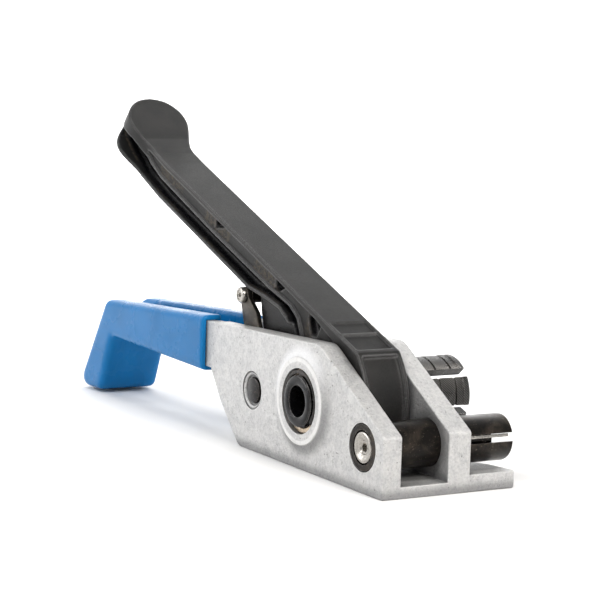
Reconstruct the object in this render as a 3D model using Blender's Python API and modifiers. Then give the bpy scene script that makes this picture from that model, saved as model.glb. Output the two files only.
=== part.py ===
"""Windlass strap tensioner: cast frame with a dipped hand grip, ratchet lever, split windlass and slotted
cutter shaft.

Axes: +X is the front of the tool, +Y the side the split shafts stick out of, +Z up.
Every length is written in millimetres and turned into metres by MM. X is measured from the windlass axis
while the pieces are made; at the end the whole tool is moved so that its origin is under the front shaft,
midway between the two cheeks, on the plane the tool stands on.
"""

import math

import bmesh
import bpy
from mathutils import Matrix, Vector

MM = 0.001
GAP = 0.3                                   # play between neighbouring pieces

# ---- frame casting ---------------------------------------------------------------------------------------
CHEEK_GAP = 22.8                            # clear width between the cheeks
INNER = CHEEK_GAP / 2
NEAR_THICK = 9.0
FAR_THICK = 11.0
NEAR_OUT = -(INNER + NEAR_THICK)
FAR_OUT = INNER + FAR_THICK
FRONT_X = 65.0
FRONT_TOP = 25.6
CROWN = (12.2, 56.2)
HEEL_X = -57.0
FLOOR_THICK = 5.0
FLOOR_FRONT_X = 33.0                        # the floor is open from here back to FLOOR_REAR_X
FLOOR_REAR_X = -41.0
FOOT_Y = 46.2
FOOT_THICK = 7.5
FOOT_BACK_X = 41.5
BOSS_TOP_R = 18.2
BOSS_BASE_R = 29.0
BOSS_RISE = 2.2

# ---- rails and grip --------------------------------------------------------------------------------------
RAIL_THICK = 5.8
NEAR_RAIL = (NEAR_OUT + 0.2, NEAR_OUT + RAIL_THICK)
FAR_RAIL = (2.0, 2.0 + RAIL_THICK)
RAIL_ROOT_X = -80.0
SKIN = 2.6                                  # wall of the dipped sleeve
SLEEVE_FRONT_X = -91.0
SADDLE_DROP = 6.0                           # how far the cross bar dips between the rails

# ---- windlass --------------------------------------------------------------------------------------------
AXLE_Z = 30.0
AXLE_R = 11.2
AXLE_BORE_R = 6.6
AXLE_END_Y = -23.6
BUSH_R = 13.9
DRUM_R = 16.6
DRUM_BORE_R = 10.7
DRUM_START_Y = FAR_OUT + 1.4
DRUM_END_Y = 55.6
DRUM_SLOT = 4.4
DRUM_SLOTS_DEG = (40.0, 100.0, 160.0)
DRUM_GROOVES_Y = (40.0, 48.0)

# ---- ratchet ---------------------------------------------------------------------------------------------
TEETH = 24
PITCH_DEG = 360.0 / TEETH
WHEEL_TIP_R = 22.4
WHEEL_ROOT_R = 20.2
WHEEL_HALF = 5.0
FACE_ROOT_DEG = 20.0                        # where one steep tooth face meets the root circle
FACE_LEAN_DEG = 2.4                         # how far the steep face leans back from root to tip
PAWL_PIN_R = 5.8
HOLD_PIVOT = (-45.0, 27.4)
HOLD_CONTACT_DEG = 140.0
DRIVE_PIVOT = (-39.0, 50.5)
DRIVE_PIN_R = 3.0
DRIVE_CONTACT_DEG = 110.0
DRIVE_LIFT_DEG = 8.0                        # at rest the drive pawl is drawn lifted out of the teeth by this

# ---- lever -----------------------------------------------------------------------------------------------
LEVER_TILT_DEG = 20.4                       # slope of the arm at rest, falling towards the front
LEVER_FOOT = (11.1, 59.9)                   # point of the arm's upper face nearest the windlass axis
LEVER_HALF = 10.8
KNOB_HALF = 16.0
NECK_S = 196.0
ARM_TIP_S = 237.5
HUB_R = 36.0
HUB_PLATE_R = 27.0
CAVITY_HALF = 5.5

# ---- release arm -----------------------------------------------------------------------------------------
BOLT_AT = (-72.7, 66.9)
BOLT_R = 1.9
BOLT_HEAD_R = 3.7
ROLLER_R = 3.8
ARM_PLATE = (8.5, 11.0)                     # each plate of the release arm lies between these |y|

# ---- front shaft -----------------------------------------------------------------------------------------
SHAFT_X = 49.0
SHAFT_Z = 18.9
SHAFT_R = 10.0
SHAFT_BORE_R = 6.5
SHAFT_END_Y = 48.2
SHAFT_SLOT = 3.7
SHAFT_SLOT_DEG = 9.3
SLOT_START_Y = 23.5
CORE_R = 6.2
CORE_END_Y = 40.0


# ---- scene and helpers -----------------------------------------------------------------------------------
for old in list(bpy.data.objects):
    bpy.data.objects.remove(old, do_unlink=True)

parts = bpy.data.collections.new("strap_tensioner")
cutters = bpy.data.collections.new("cutters")
bpy.context.scene.collection.children.link(parts)
bpy.context.scene.collection.children.link(cutters)


def material(name, colour, roughness, metallic):
    made = bpy.data.materials.new(name)
    made.use_nodes = True
    shader = made.node_tree.nodes["Principled BSDF"]
    shader.inputs["Base Color"].default_value = (*colour, 1.0)
    shader.inputs["Roughness"].default_value = roughness
    shader.inputs["Metallic"].default_value = metallic
    return made


CAST = material("cast_aluminium", (0.62, 0.61, 0.59), 0.5, 1.0)
VINYL = material("blue_vinyl", (0.03, 0.22, 0.60), 0.3, 0.0)
BLACK = material("black_coating", (0.02, 0.02, 0.022), 0.45, 0.0)
OXIDE = material("oxide_steel", (0.05, 0.042, 0.036), 0.4, 1.0)
STEEL = material("bright_steel", (0.60, 0.60, 0.60), 0.25, 1.0)
BRONZE = material("bronze_bush", (0.45, 0.36, 0.24), 0.4, 1.0)


def link(obj, coating, origin=None):
    """Puts a finished object in the parts collection, with its origin at the given point in mm."""
    for home in list(obj.users_collection):
        home.objects.unlink(obj)
    parts.objects.link(obj)
    obj.data.materials.clear()
    obj.data.materials.append(coating)
    if origin is not None:
        shift = Vector(origin) * MM
        obj.data.transform(obj.matrix_world)
        obj.matrix_world = Matrix.Identity(4)
        obj.data.transform(Matrix.Translation(-shift))
        obj.location = shift
    return obj


def as_tool(obj):
    """Marks an object as a Boolean operand."""
    for home in list(obj.users_collection):
        home.objects.unlink(obj)
    cutters.objects.link(obj)
    obj.hide_render = True
    obj.display_type = "WIRE"
    return obj


def boolean(target, tool, operation):
    as_tool(tool)
    step = target.modifiers.new(operation.lower(), "BOOLEAN")
    step.operation = operation
    step.solver = "EXACT"
    step.object = tool
    return target


def cut(target, *tools):
    for tool in tools:
        boolean(target, tool, "DIFFERENCE")
    return target


def join(target, *tools):
    for tool in tools:
        boolean(target, tool, "UNION")
    return target


def mesh_object(name, mesh):
    made = bpy.data.objects.new(name, mesh)
    parts.objects.link(made)
    return made


def smooth(obj, angle_deg=35.0):
    obj.data.shade_smooth()
    obj.data.set_sharp_from_angle(angle=math.radians(angle_deg))
    return obj


def polar(radius, degrees, centre=(0.0, AXLE_Z)):
    """Point in the X-Z plane at a radius and an angle from +X towards +Z."""
    turn = math.radians(degrees)
    return centre[0] + radius * math.cos(turn), centre[1] + radius * math.sin(turn)


def arc(centre, radius, start_deg, end_deg, steps):
    return [polar(radius, start_deg + (end_deg - start_deg) * k / steps, centre) for k in range(steps + 1)]


def rounded(corners, steps=5):
    """Outline from (x, z, radius) corners, each corner replaced by an arc of its radius."""
    points = []
    count = len(corners)
    for k, (x, z, radius) in enumerate(corners):
        here = Vector((x, z))
        if radius <= 0.0:
            points.append((x, z))
            continue
        back = (Vector(corners[k - 1][:2]) - here).normalized()
        ahead = (Vector(corners[(k + 1) % count][:2]) - here).normalized()
        half = back.angle(ahead) / 2.0
        bisector = (back + ahead).normalized()
        centre = here + bisector * (radius / math.sin(half))
        start = here + back * (radius / math.tan(half)) - centre
        end = here + ahead * (radius / math.tan(half)) - centre
        sweep = math.atan2(start.x * end.y - start.y * end.x, start.dot(end))
        for j in range(steps + 1):
            turned = Matrix.Rotation(sweep * j / steps, 2) @ start
            points.append(tuple(centre + turned))
    return points


def grown(corners, distance):
    """The same (x, z, radius) corners, listed anticlockwise, with every side moved outwards."""
    moved = []
    count = len(corners)
    for k, (x, z, radius) in enumerate(corners):
        here = Vector((x, z))
        side_in = (here - Vector(corners[k - 1][:2])).normalized()
        side_out = (Vector(corners[(k + 1) % count][:2]) - here).normalized()
        out_in = Vector((side_in.y, -side_in.x))
        out_out = Vector((side_out.y, -side_out.x))
        reach = distance / (1.0 + out_in.dot(out_out))
        convex = side_in.x * side_out.y - side_in.y * side_out.x > 0.0
        new_radius = radius + distance if convex else max(radius - distance, 0.5)
        moved.append((*(here + (out_in + out_out) * reach), new_radius if radius > 0.0 else 0.0))
    return moved


def flat(name, outline, low, high, frame=None):
    """Mesh of a flat outline, extruded along Y from low to high.

    frame places the outline's own two axes and the extrusion; by default they are X, Z and Y."""
    curve = bpy.data.curves.new(name, "CURVE")
    curve.dimensions = "2D"
    curve.fill_mode = "BOTH"
    curve.extrude = (high - low) / 2.0 * MM
    spline = curve.splines.new("POLY")
    spline.points.add(len(outline) - 1)
    for point, (u, v) in zip(spline.points, outline):
        point.co = (u * MM, v * MM, 0.0, 1.0)
    spline.use_cyclic_u = True
    guide = bpy.data.objects.new(name + "_outline", curve)
    parts.objects.link(guide)
    bpy.context.view_layer.update()
    graph = bpy.context.evaluated_depsgraph_get()
    mesh = bpy.data.meshes.new_from_object(guide.evaluated_get(graph))
    bpy.data.objects.remove(guide, do_unlink=True)
    middle = Matrix.Translation((0.0, 0.0, -(low + high) / 2.0 * MM))
    stand = frame if frame is not None else Matrix.Rotation(math.radians(90.0), 4, "X")
    mesh.transform(stand @ middle)
    shape = bmesh.new()
    shape.from_mesh(mesh)
    bmesh.ops.remove_doubles(shape, verts=shape.verts, dist=1e-6)
    bmesh.ops.recalc_face_normals(shape, faces=shape.faces)
    shape.to_mesh(mesh)
    shape.free()
    mesh.name = name
    return mesh_object(name, mesh)


def box(name, low, high):
    """Box between two corner points."""
    size = [(b - a) * MM for a, b in zip(low, high)]
    centre = [(a + b) / 2.0 * MM for a, b in zip(low, high)]
    shape = bmesh.new()
    bmesh.ops.create_cube(shape, size=1.0, matrix=Matrix.Translation(centre) @ Matrix.Diagonal((*size, 1.0)))
    mesh = bpy.data.meshes.new(name)
    shape.to_mesh(mesh)
    shape.free()
    return mesh_object(name, mesh)


def rod(name, radius, low, high, at, segments=32):
    """Round bar along Y at an (x, z) place."""
    shape = bmesh.new()
    place = (Matrix.Translation((at[0] * MM, (low + high) / 2.0 * MM, at[1] * MM))
             @ Matrix.Rotation(math.radians(90.0), 4, "X"))
    bmesh.ops.create_cone(shape, cap_ends=True, segments=segments, radius1=radius * MM,
                          radius2=radius * MM, depth=(high - low) * MM, matrix=place)
    mesh = bpy.data.meshes.new(name)
    shape.to_mesh(mesh)
    shape.free()
    return smooth(mesh_object(name, mesh))


def turned(name, profile, at, segments=40, ring=True):
    """Turned piece along Y at an (x, z) place, from (radius, y) points going down the outer side first."""
    mesh = bpy.data.meshes.new(name)
    last = len(profile)
    edges = [(k, (k + 1) % last) for k in range(last if ring else last - 1)]
    mesh.from_pydata([(r * MM, 0.0, y * MM) for r, y in profile], edges, [])
    made = mesh_object(name, mesh)
    step = made.modifiers.new("turn", "SCREW")
    step.axis = "Z"
    step.steps = segments
    step.render_steps = segments
    step.use_merge_vertices = True
    step.merge_threshold = 1e-6
    step.use_smooth_shade = True
    graph = bpy.context.evaluated_depsgraph_get()
    solid = bpy.data.meshes.new_from_object(made.evaluated_get(graph))
    bpy.data.objects.remove(made, do_unlink=True)
    lie = Matrix.Rotation(math.radians(-90.0), 4, "X")
    solid.transform(Matrix.Translation((at[0] * MM, 0.0, at[1] * MM)) @ lie)
    solid.name = name
    return smooth(mesh_object(name, solid))


def ring(name, outer, inner, low, high, at, segments=40):
    return turned(name, [(outer, high), (outer, low), (inner, low), (inner, high)], at, segments)


def coil(name, at, radius, wire, low, high, turns):
    """Helical spring along Y."""
    curve = bpy.data.curves.new(name, "CURVE")
    curve.dimensions = "3D"
    curve.bevel_depth = wire * MM
    curve.bevel_resolution = 1
    curve.use_fill_caps = True
    spline = curve.splines.new("POLY")
    count = 14 * turns
    spline.points.add(count)
    for k in range(count + 1):
        turn = math.tau * turns * k / count
        y = low + (high - low) * k / count
        spline.points[k].co = ((at[0] + radius * math.cos(turn)) * MM, y * MM,
                               (at[1] + radius * math.sin(turn)) * MM, 1.0)
    guide = bpy.data.objects.new(name + "_path", curve)
    parts.objects.link(guide)
    bpy.context.view_layer.update()
    graph = bpy.context.evaluated_depsgraph_get()
    mesh = bpy.data.meshes.new_from_object(guide.evaluated_get(graph))
    bpy.data.objects.remove(guide, do_unlink=True)
    shape = bmesh.new()
    shape.from_mesh(mesh)
    bmesh.ops.remove_doubles(shape, verts=shape.verts, dist=1e-6)
    bmesh.ops.recalc_face_normals(shape, faces=shape.faces)
    shape.to_mesh(mesh)
    shape.free()
    return smooth(mesh_object(name, mesh), 60.0)


def loft(name, sections):
    """Solid between two four-cornered sections, given as lists of (x, y, z)."""
    shape = bmesh.new()
    rings = [[shape.verts.new(Vector(point) * MM) for point in section] for section in sections]
    shape.faces.new(rings[0])
    shape.faces.new(rings[1][::-1])
    for k in range(4):
        j = (k + 1) % 4
        shape.faces.new((rings[0][k], rings[1][k], rings[1][j], rings[0][j]))
    bmesh.ops.recalc_face_normals(shape, faces=shape.faces)
    mesh = bpy.data.meshes.new(name)
    shape.to_mesh(mesh)
    shape.free()
    return mesh_object(name, mesh)


AXLE = (0.0, AXLE_Z)
SHAFT = (SHAFT_X, SHAFT_Z)


# ---- frame casting ---------------------------------------------------------------------------------------
# Outside of the dipped grip in side view, anticlockwise: two rails above, a butt hanging down behind.
GRIP_CORNERS = [
    (RAIL_ROOT_X, 56.1, 0.0),
    (-201.0, 50.0, 6.0),
    (-233.5, 0.8, 5.4),
    (-206.0, 1.6, 4.5),
    (-193.0, 31.4, 4.0),
    (RAIL_ROOT_X, 28.9, 0.0),
]


def grip(name, inset, front_x):
    """Rails and butt, every face drawn in by inset from the outside, cut off square at front_x."""
    body = flat(name, rounded(grown(GRIP_CORNERS, -inset)), NEAR_RAIL[0] - SKIN + inset,
                FAR_RAIL[1] + SKIN - inset)
    slot_low = NEAR_RAIL[1] + SKIN - inset
    slot_high = FAR_RAIL[0] - SKIN + inset
    slot = [(-184.0 - inset, 70.0), (-190.0 - inset, 30.0), (-193.0 - inset, 20.0), (0.0, 20.0), (0.0, 70.0)]
    cut(body, flat(name + "_slot", slot, slot_low, slot_high))
    # the saddle: the cross bar's top falls away from both rails to a lower middle
    middle = (slot_low + slot_high) / 2.0
    rim = 51.0 - inset
    saddle = [(slot_low - 1.5, 70.0), (slot_low - 1.5, rim), (middle - 3.0, rim - SADDLE_DROP),
              (middle + 3.0, rim - SADDLE_DROP), (slot_high + 1.5, rim), (slot_high + 1.5, 70.0)]
    along_x = Matrix(((0, 0, -1, 0), (1, 0, 0, 0), (0, 1, 0, 0), (0, 0, 0, 1)))
    cut(body, flat(name + "_saddle", saddle, -240.0, -182.0 + inset, along_x))
    cut(body, box(name + "_front", (front_x, -60.0, 0.0), (40.0, 60.0, 90.0)))
    return body


def cheek_outline(rear):
    """Side view of a cheek, anticlockwise from the front bottom corner."""
    front = [(FRONT_X, 0.0, 0.8), (FRONT_X, FRONT_TOP, 2.5), (CROWN[0], CROWN[1], 13.0)]
    return rounded(front + rear, steps=6)


near_rear = [(-84.0, 53.2, 0.0), (-86.0, 32.2, 0.0), (-84.6, 29.6, 2.0), (-75.0, 17.4, 18.0),
             (HEEL_X, 0.0, 6.0)]
far_rear = [(-66.0, 54.0, 6.0), (-66.0, 28.0, 9.0), (-50.0, 0.0, 6.0)]

frame_casting = flat("frame_casting", cheek_outline(near_rear), NEAR_OUT, -INNER)
far_cheek = flat("far_cheek", cheek_outline(far_rear), INNER, FAR_OUT)
front_floor = box("front_floor", (FLOOR_FRONT_X, -INNER - 1.0, 0.0), (FRONT_X, INNER + 1.0, FLOOR_THICK))
rear_floor = box("rear_floor", (-54.0, -INNER - 1.0, 0.0), (FLOOR_REAR_X, INNER + 1.0, FLOOR_THICK))
foot = flat("foot", [(FOOT_BACK_X, FAR_OUT - 1.0), (FRONT_X, FAR_OUT - 1.0), (FRONT_X, FOOT_Y - 2.0),
                     (FRONT_X - 2.0, FOOT_Y), (FOOT_BACK_X + 8.0, FOOT_Y - 3.0), (FOOT_BACK_X, FOOT_Y - 8.0)],
            0.0, FOOT_THICK, Matrix.Identity(4))
foot.data.transform(Matrix.Translation((0.0, 0.0, FOOT_THICK * MM)))
boss = turned("boss", [(0.0, -INNER - 4.0), (BOSS_BASE_R, -INNER - 4.0), (BOSS_BASE_R, NEAR_OUT),
                       (BOSS_BASE_R - 6.0, NEAR_OUT - 0.6), (BOSS_TOP_R + 1.0, NEAR_OUT - BOSS_RISE + 0.4),
                       (BOSS_TOP_R, NEAR_OUT - BOSS_RISE), (0.0, NEAR_OUT - BOSS_RISE)], AXLE, 48, ring=False)
boolean(boss, flat("boss_limit", cheek_outline(near_rear), NEAR_OUT - 5.0, -INNER - 3.0), "INTERSECT")
jog = loft("rail_jog", [
    [(-64.4, INNER, 31.0), (-64.4, FAR_OUT - 1.0, 31.0), (-64.4, FAR_OUT - 1.0, 53.4), (-64.4, INNER, 53.4)],
    [(-86.0, FAR_RAIL[0], 32.6), (-86.0, FAR_RAIL[1], 32.6),
     (-86.0, FAR_RAIL[1], 52.9), (-86.0, FAR_RAIL[0], 52.9)],
])
core = grip("grip_core", SKIN, RAIL_ROOT_X)
far_stub = box("far_stub", (-84.0, -5.0, 20.0), (-60.0, 15.0, 60.0))
cut(core, far_stub)
join(frame_casting, far_cheek, front_floor, rear_floor, foot, boss, jog, core)
cut(frame_casting,
    rod("axle_bore", BUSH_R + GAP, NEAR_OUT - 5.0, FAR_OUT + 1.0, AXLE, 44),
    rod("shaft_bore", SHAFT_R + GAP, NEAR_OUT - 1.0, FAR_OUT + 1.0, SHAFT, 40),
    rod("hold_pin_bore", PAWL_PIN_R + GAP, NEAR_OUT - 1.0, INNER + 7.0, HOLD_PIVOT),
    rod("hold_pin_counterbore", 8.4, NEAR_OUT - 1.0, NEAR_OUT + 1.2, HOLD_PIVOT))
link(frame_casting, CAST)

# ---- dipped sleeve on the grip ---------------------------------------------------------------------------
grip_sleeve = grip("grip_sleeve", 0.0, SLEEVE_FRONT_X)
cut(grip_sleeve, grip("sleeve_hollow", SKIN - GAP, SLEEVE_FRONT_X + 5.0))
link(grip_sleeve, VINYL)

# ---- windlass: axle, split drum and what holds it --------------------------------------------------------
groove_half = 0.6
groove_floor = DRUM_R - 0.6
drum_side = [(DRUM_R - 0.8, DRUM_END_Y), (DRUM_R, DRUM_END_Y - 0.8)]
for groove_y in sorted(DRUM_GROOVES_Y, reverse=True):
    drum_side += [(DRUM_R, groove_y + groove_half), (groove_floor, groove_y + groove_half),
                  (groove_floor, groove_y - groove_half), (DRUM_R, groove_y - groove_half)]
CLIP_LOW = -22.4
CLIP_HIGH = -21.2
axle_side = [(DRUM_R, DRUM_START_Y), (AXLE_R, DRUM_START_Y), (AXLE_R, CLIP_HIGH + GAP),
             (AXLE_R - 1.0, CLIP_HIGH + GAP), (AXLE_R - 1.0, CLIP_LOW - GAP), (AXLE_R, CLIP_LOW - GAP),
             (AXLE_R, AXLE_END_Y + 0.6), (AXLE_R - 0.6, AXLE_END_Y)]
bore_side = [(AXLE_BORE_R + 0.6, AXLE_END_Y), (AXLE_BORE_R, AXLE_END_Y + 0.6), (AXLE_BORE_R, DRUM_START_Y),
             (DRUM_BORE_R, DRUM_START_Y + 3.0), (DRUM_BORE_R, DRUM_END_Y)]
windlass = turned("windlass", drum_side + axle_side + bore_side, AXLE, 60)
for k, degrees in enumerate(DRUM_SLOTS_DEG):
    slot = box(f"drum_slot_{k}", (-20.0, DRUM_START_Y + 4.0, -DRUM_SLOT / 2.0), (20.0, 70.0, DRUM_SLOT / 2.0))
    slot.data.transform(Matrix.Translation((0.0, 0.0, AXLE_Z * MM))
                        @ Matrix.Rotation(-math.radians(degrees), 4, "Y"))
    cut(windlass, slot)
KEY_HALF = 1.5
key_seat = box("key_seat", (-KEY_HALF - 0.1, -WHEEL_HALF, AXLE_Z + AXLE_R - 1.8),
               (KEY_HALF + 0.1, WHEEL_HALF, AXLE_Z + AXLE_R + 2.0))
cut(windlass, key_seat)
link(windlass, OXIDE, (0.0, 0.0, AXLE_Z))

near_bush = ring("near_bush", BUSH_R, AXLE_R + GAP, NEAR_OUT - 0.4, -INNER - GAP, AXLE)
link(near_bush, BRONZE)
far_bush = ring("far_bush", BUSH_R, AXLE_R + GAP, INNER + GAP, FAR_OUT - GAP, AXLE)
link(far_bush, BRONZE)
thrust_washer = ring("thrust_washer", 16.2, AXLE_R + GAP, FAR_OUT + GAP, DRUM_START_Y - GAP, AXLE)
link(thrust_washer, STEEL)

# open spring ring in the axle's groove, with a gap at the bottom; three lugs on its inside grip the groove
CLIP_R = 13.4
CLIP_START_DEG = -40.0
CLIP_END_DEG = 207.0
CLIP_LUG_HALF_DEG = 7.5
lug_middles = (CLIP_END_DEG - 7.5, (CLIP_START_DEG + CLIP_END_DEG) / 2.0, CLIP_START_DEG + 7.5)
clip_outline = arc(AXLE, CLIP_R, CLIP_START_DEG, CLIP_END_DEG, 30)
for k, middle in enumerate(lug_middles):
    clip_outline += arc(AXLE, AXLE_R - 1.0 + GAP, middle + CLIP_LUG_HALF_DEG, middle - CLIP_LUG_HALF_DEG, 4)
    if k < 2:
        next_start = lug_middles[k + 1] + CLIP_LUG_HALF_DEG
        clip_outline += arc(AXLE, AXLE_R + 0.6, middle - CLIP_LUG_HALF_DEG, next_start, 12)
axle_clip = flat("axle_clip", clip_outline, CLIP_LOW, CLIP_HIGH)
link(axle_clip, OXIDE)

# ---- ratchet wheel and its key ---------------------------------------------------------------------------
wheel_outline = []
for k in range(TEETH):
    root_deg = FACE_ROOT_DEG + k * PITCH_DEG
    wheel_outline.append(polar(WHEEL_TIP_R, root_deg - FACE_LEAN_DEG - 1.0))
    wheel_outline.append(polar(WHEEL_TIP_R, root_deg - FACE_LEAN_DEG))
    wheel_outline.append(polar(WHEEL_ROOT_R, root_deg))
    wheel_outline.append(polar(WHEEL_ROOT_R, root_deg + 1.5))
ratchet_wheel = flat("ratchet_wheel", wheel_outline, -WHEEL_HALF, WHEEL_HALF)
cut(ratchet_wheel, rod("wheel_bore", AXLE_R + GAP, -8.0, 8.0, AXLE, 48),
    box("wheel_keyway", (-KEY_HALF - GAP, -8.0, AXLE_Z + 5.0), (KEY_HALF + GAP, 8.0, AXLE_Z + AXLE_R + 2.2)))
link(ratchet_wheel, OXIDE, (0.0, 0.0, AXLE_Z))
wheel_key = box("wheel_key", (-KEY_HALF + 0.2, -WHEEL_HALF + GAP, AXLE_Z + AXLE_R - 1.5),
                (KEY_HALF - 0.2, WHEEL_HALF - GAP, AXLE_Z + AXLE_R + 1.8))
link(wheel_key, STEEL)


# ---- lever -----------------------------------------------------------------------------------------------
tilt = math.radians(LEVER_TILT_DEG)
ALONG = Vector((-math.cos(tilt), math.sin(tilt)))       # from the hub towards the knob
UP = Vector((math.sin(tilt), math.cos(tilt)))           # out of the arm's upper face


def on_arm(s, h):
    """Point at s along the arm and h above its upper face."""
    point = Vector(LEVER_FOOT) + ALONG * s + UP * h
    return point.x, point.y


def smoothstep(t):
    t = min(max(t, 0.0), 1.0)
    return t * t * (3.0 - 2.0 * t)


FACE_BEND_S = 198.0                         # here the upper face turns up into the knob's tilted disc
FACE_TILT_DEG = 23.0
KNOB_S = 222.0                              # centre of the knob's round end, along the arm
KNOB_EDGE_R = 7.0
face_slope = math.tan(math.radians(FACE_TILT_DEG))
knob_face = [(180.0, 0.0), (192.0, 0.4), (FACE_BEND_S, 1.2), (204.0, 2.9)]
knob_face += [(s, 2.9 + (s - 204.0) * face_slope) for s in (214.0, 226.0)]
knob_centre = (ARM_TIP_S - KNOB_EDGE_R, 2.9 + (ARM_TIP_S - KNOB_EDGE_R - 204.0) * face_slope - KNOB_EDGE_R)
knob_edge = arc(knob_centre, KNOB_EDGE_R, 90.0 + FACE_TILT_DEG / 2.0, 0.0, 4)
knob_under = [(ARM_TIP_S, -4.0), (ARM_TIP_S - 2.5, -8.0), (222.0, -12.4), (203.0, -17.6), (180.0, -19.0),
              (80.0, -18.6)]
root_under = [(62.0, -15.4), (50.0, -13.8)]
arm_side = [on_arm(s, h) for s, h in knob_face + knob_edge + knob_under + root_under]
hub_front = arc(AXLE, HUB_R, -10.0, 42.0, 10)
hub_low = arc(AXLE, HUB_PLATE_R, 130.0, 350.0, 26)
lever_side = hub_front + [on_arm(-12.0, 0.0)] + arm_side + [on_arm(44.0, -15.0)] + hub_low
lever = flat("lever", lever_side, -KNOB_HALF - 1.0, KNOB_HALF + 1.0)

# gusset plates under the arm's root carry the drive pawl
gusset_outline = [on_arm(70.0, -14.0), on_arm(50.0, -9.0), on_arm(20.0, -9.0), polar(24.0, 130.0),
                  polar(24.0, 165.0)] + arc(DRIVE_PIVOT, 7.0, 275.0, 170.0, 6) + [on_arm(66.0, -17.0)]
join(lever, flat("gussets", gusset_outline, -8.0, 8.0))

# room for the wheel and both pawls between the hub plates, open to the rear
wheel_room = ([on_arm(60.0, -12.0), on_arm(40.0, -6.0), on_arm(6.0, -6.5)]
              + arc(AXLE, WHEEL_TIP_R + 2.0, 70.0, -118.0, 24)
              + [polar(60.0, 242.0), polar(60.0, 195.0), polar(60.0, 150.0)])
cut(lever,
    flat("wheel_room", wheel_room, -CAVITY_HALF, CAVITY_HALF),
    rod("lever_bore", AXLE_R + GAP, -30.0, 30.0, AXLE, 44),
    rod("drive_pin_bore", DRIVE_PIN_R + GAP, -7.0, 7.0, DRIVE_PIVOT, 24))

# the hollow in each side of the arm, between the upper flange and the lower rim
channel = [on_arm(s, h) for s, h in ((224.0, -1.0), (230.0, -4.0), (228.0, -7.5), (203.0, -14.8),
                                   (180.0, -16.4),
                                     (80.0, -15.6), (69.0, -13.2), (64.0, -8.5), (68.0, -4.5), (200.0, -4.0))]
for side in (-1.0, 1.0):
    low, high = sorted((side * 4.0, side * 30.0))
    cut(lever, flat(f"channel_{'near' if side < 0 else 'far'}", channel, low, high))

# plan of the arm: straight sides that swell into a round-ended knob
plan_half = [(s, LEVER_HALF + (KNOB_HALF - LEVER_HALF) * smoothstep((s - NECK_S) / (KNOB_S - 4.0 - NECK_S)))
             for s in (-70.0, NECK_S, 201.0, 206.0, 211.0, 216.0)]
plan_half += [(KNOB_S + (ARM_TIP_S - KNOB_S) * math.sin(math.radians(a)),
               KNOB_HALF * math.cos(math.radians(a)))
              for a in (0, 15, 30, 45, 60, 75)]
plan = plan_half + [(ARM_TIP_S, 0.0)] + [(s, -w) for s, w in reversed(plan_half)]
arm_axes = Matrix(((ALONG.x, 0, UP.x, LEVER_FOOT[0] * MM), (0, 1, 0, 0),
                   (ALONG.y, 0, UP.y, LEVER_FOOT[1] * MM),
                   (0, 0, 0, 1)))
plan_stand = arm_axes @ Matrix.Scale(-1.0, 4, (0, 0, 1))
boolean(lever, flat("lever_plan", plan, -70.0, 70.0, plan_stand), "INTERSECT")
link(lever, BLACK, (0.0, 0.0, AXLE_Z))


# ---- pawls -----------------------------------------------------------------------------------------------
def pawl_nose(contact_deg, clear):
    """Nose that fills the tooth space behind the steep face at contact_deg, clear of wheel by `clear`."""
    face_root = contact_deg
    away = math.degrees(clear / WHEEL_ROOT_R)
    toe = polar(WHEEL_ROOT_R + clear, face_root + away + 1.0)
    heel = polar(WHEEL_TIP_R + clear, face_root - FACE_LEAN_DEG + away)
    beyond = polar(WHEEL_TIP_R + 3.0, face_root - 2.0 * FACE_LEAN_DEG + away)
    ramp = polar(WHEEL_ROOT_R + 1.1 + clear, face_root + 6.5)
    over = polar(WHEEL_TIP_R + 0.8, face_root + 12.0)
    return [over, ramp, toe, heel, beyond]


hold_body = (pawl_nose(HOLD_CONTACT_DEG, 0.35) + [(-30.0, 43.0)]
             + arc(HOLD_PIVOT, 8.0, 85.0, 270.0, 10) + [(-33.0, 24.0)])
holding_pawl = flat("holding_pawl", hold_body, -4.6, -0.4)
BARREL_R = 9.0
SPRING_SEAT_R = 7.4
SPRING_SEAT = (1.2, 7.4)                    # the barrel is slimmer here, under the torsion spring
barrel_side = [(0.0, ARM_PLATE[1]), (BARREL_R, ARM_PLATE[1]), (BARREL_R, SPRING_SEAT[1]),
               (SPRING_SEAT_R, SPRING_SEAT[1]), (SPRING_SEAT_R, SPRING_SEAT[0]), (BARREL_R, SPRING_SEAT[0]),
               (BARREL_R, -ARM_PLATE[1]), (0.0, -ARM_PLATE[1])]
join(holding_pawl, turned("hold_barrel", barrel_side, HOLD_PIVOT, 36, ring=False))
# the two release plates rise behind the lever's underside and carry the bolt; the far one keeps clear of the
# jog in the rail
bolt_end = arc(BOLT_AT, ROLLER_R, 30.0, 215.0, 8)
plate_front = [(-36.5, 30.0), (-52.0, 46.0), (-58.0, 54.0), (-60.5, 60.0), (-68.0, 66.0)]
near_plate = plate_front + bolt_end + [(-70.5, 52.0), (-62.0, 42.0), (-53.5, 26.0)]
far_plate = plate_front + bolt_end + [(-69.0, 61.0), (-60.0, 54.0), (-55.5, 42.0), (-53.5, 26.0)]
for name, outline, side in (("near_release_plate", near_plate, -1.0), ("far_release_plate", far_plate, 1.0)):
    low, high = sorted((side * ARM_PLATE[0], side * ARM_PLATE[1]))
    join(holding_pawl, flat(name, outline, low, high))
cut(holding_pawl,
    rod("hold_bore", PAWL_PIN_R + GAP, -20.0, 20.0, HOLD_PIVOT, 36),
    rod("bolt_bore", BOLT_R + GAP, -20.0, 20.0, BOLT_AT, 20))
link(holding_pawl, OXIDE, (HOLD_PIVOT[0], 0.0, HOLD_PIVOT[1]))

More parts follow.
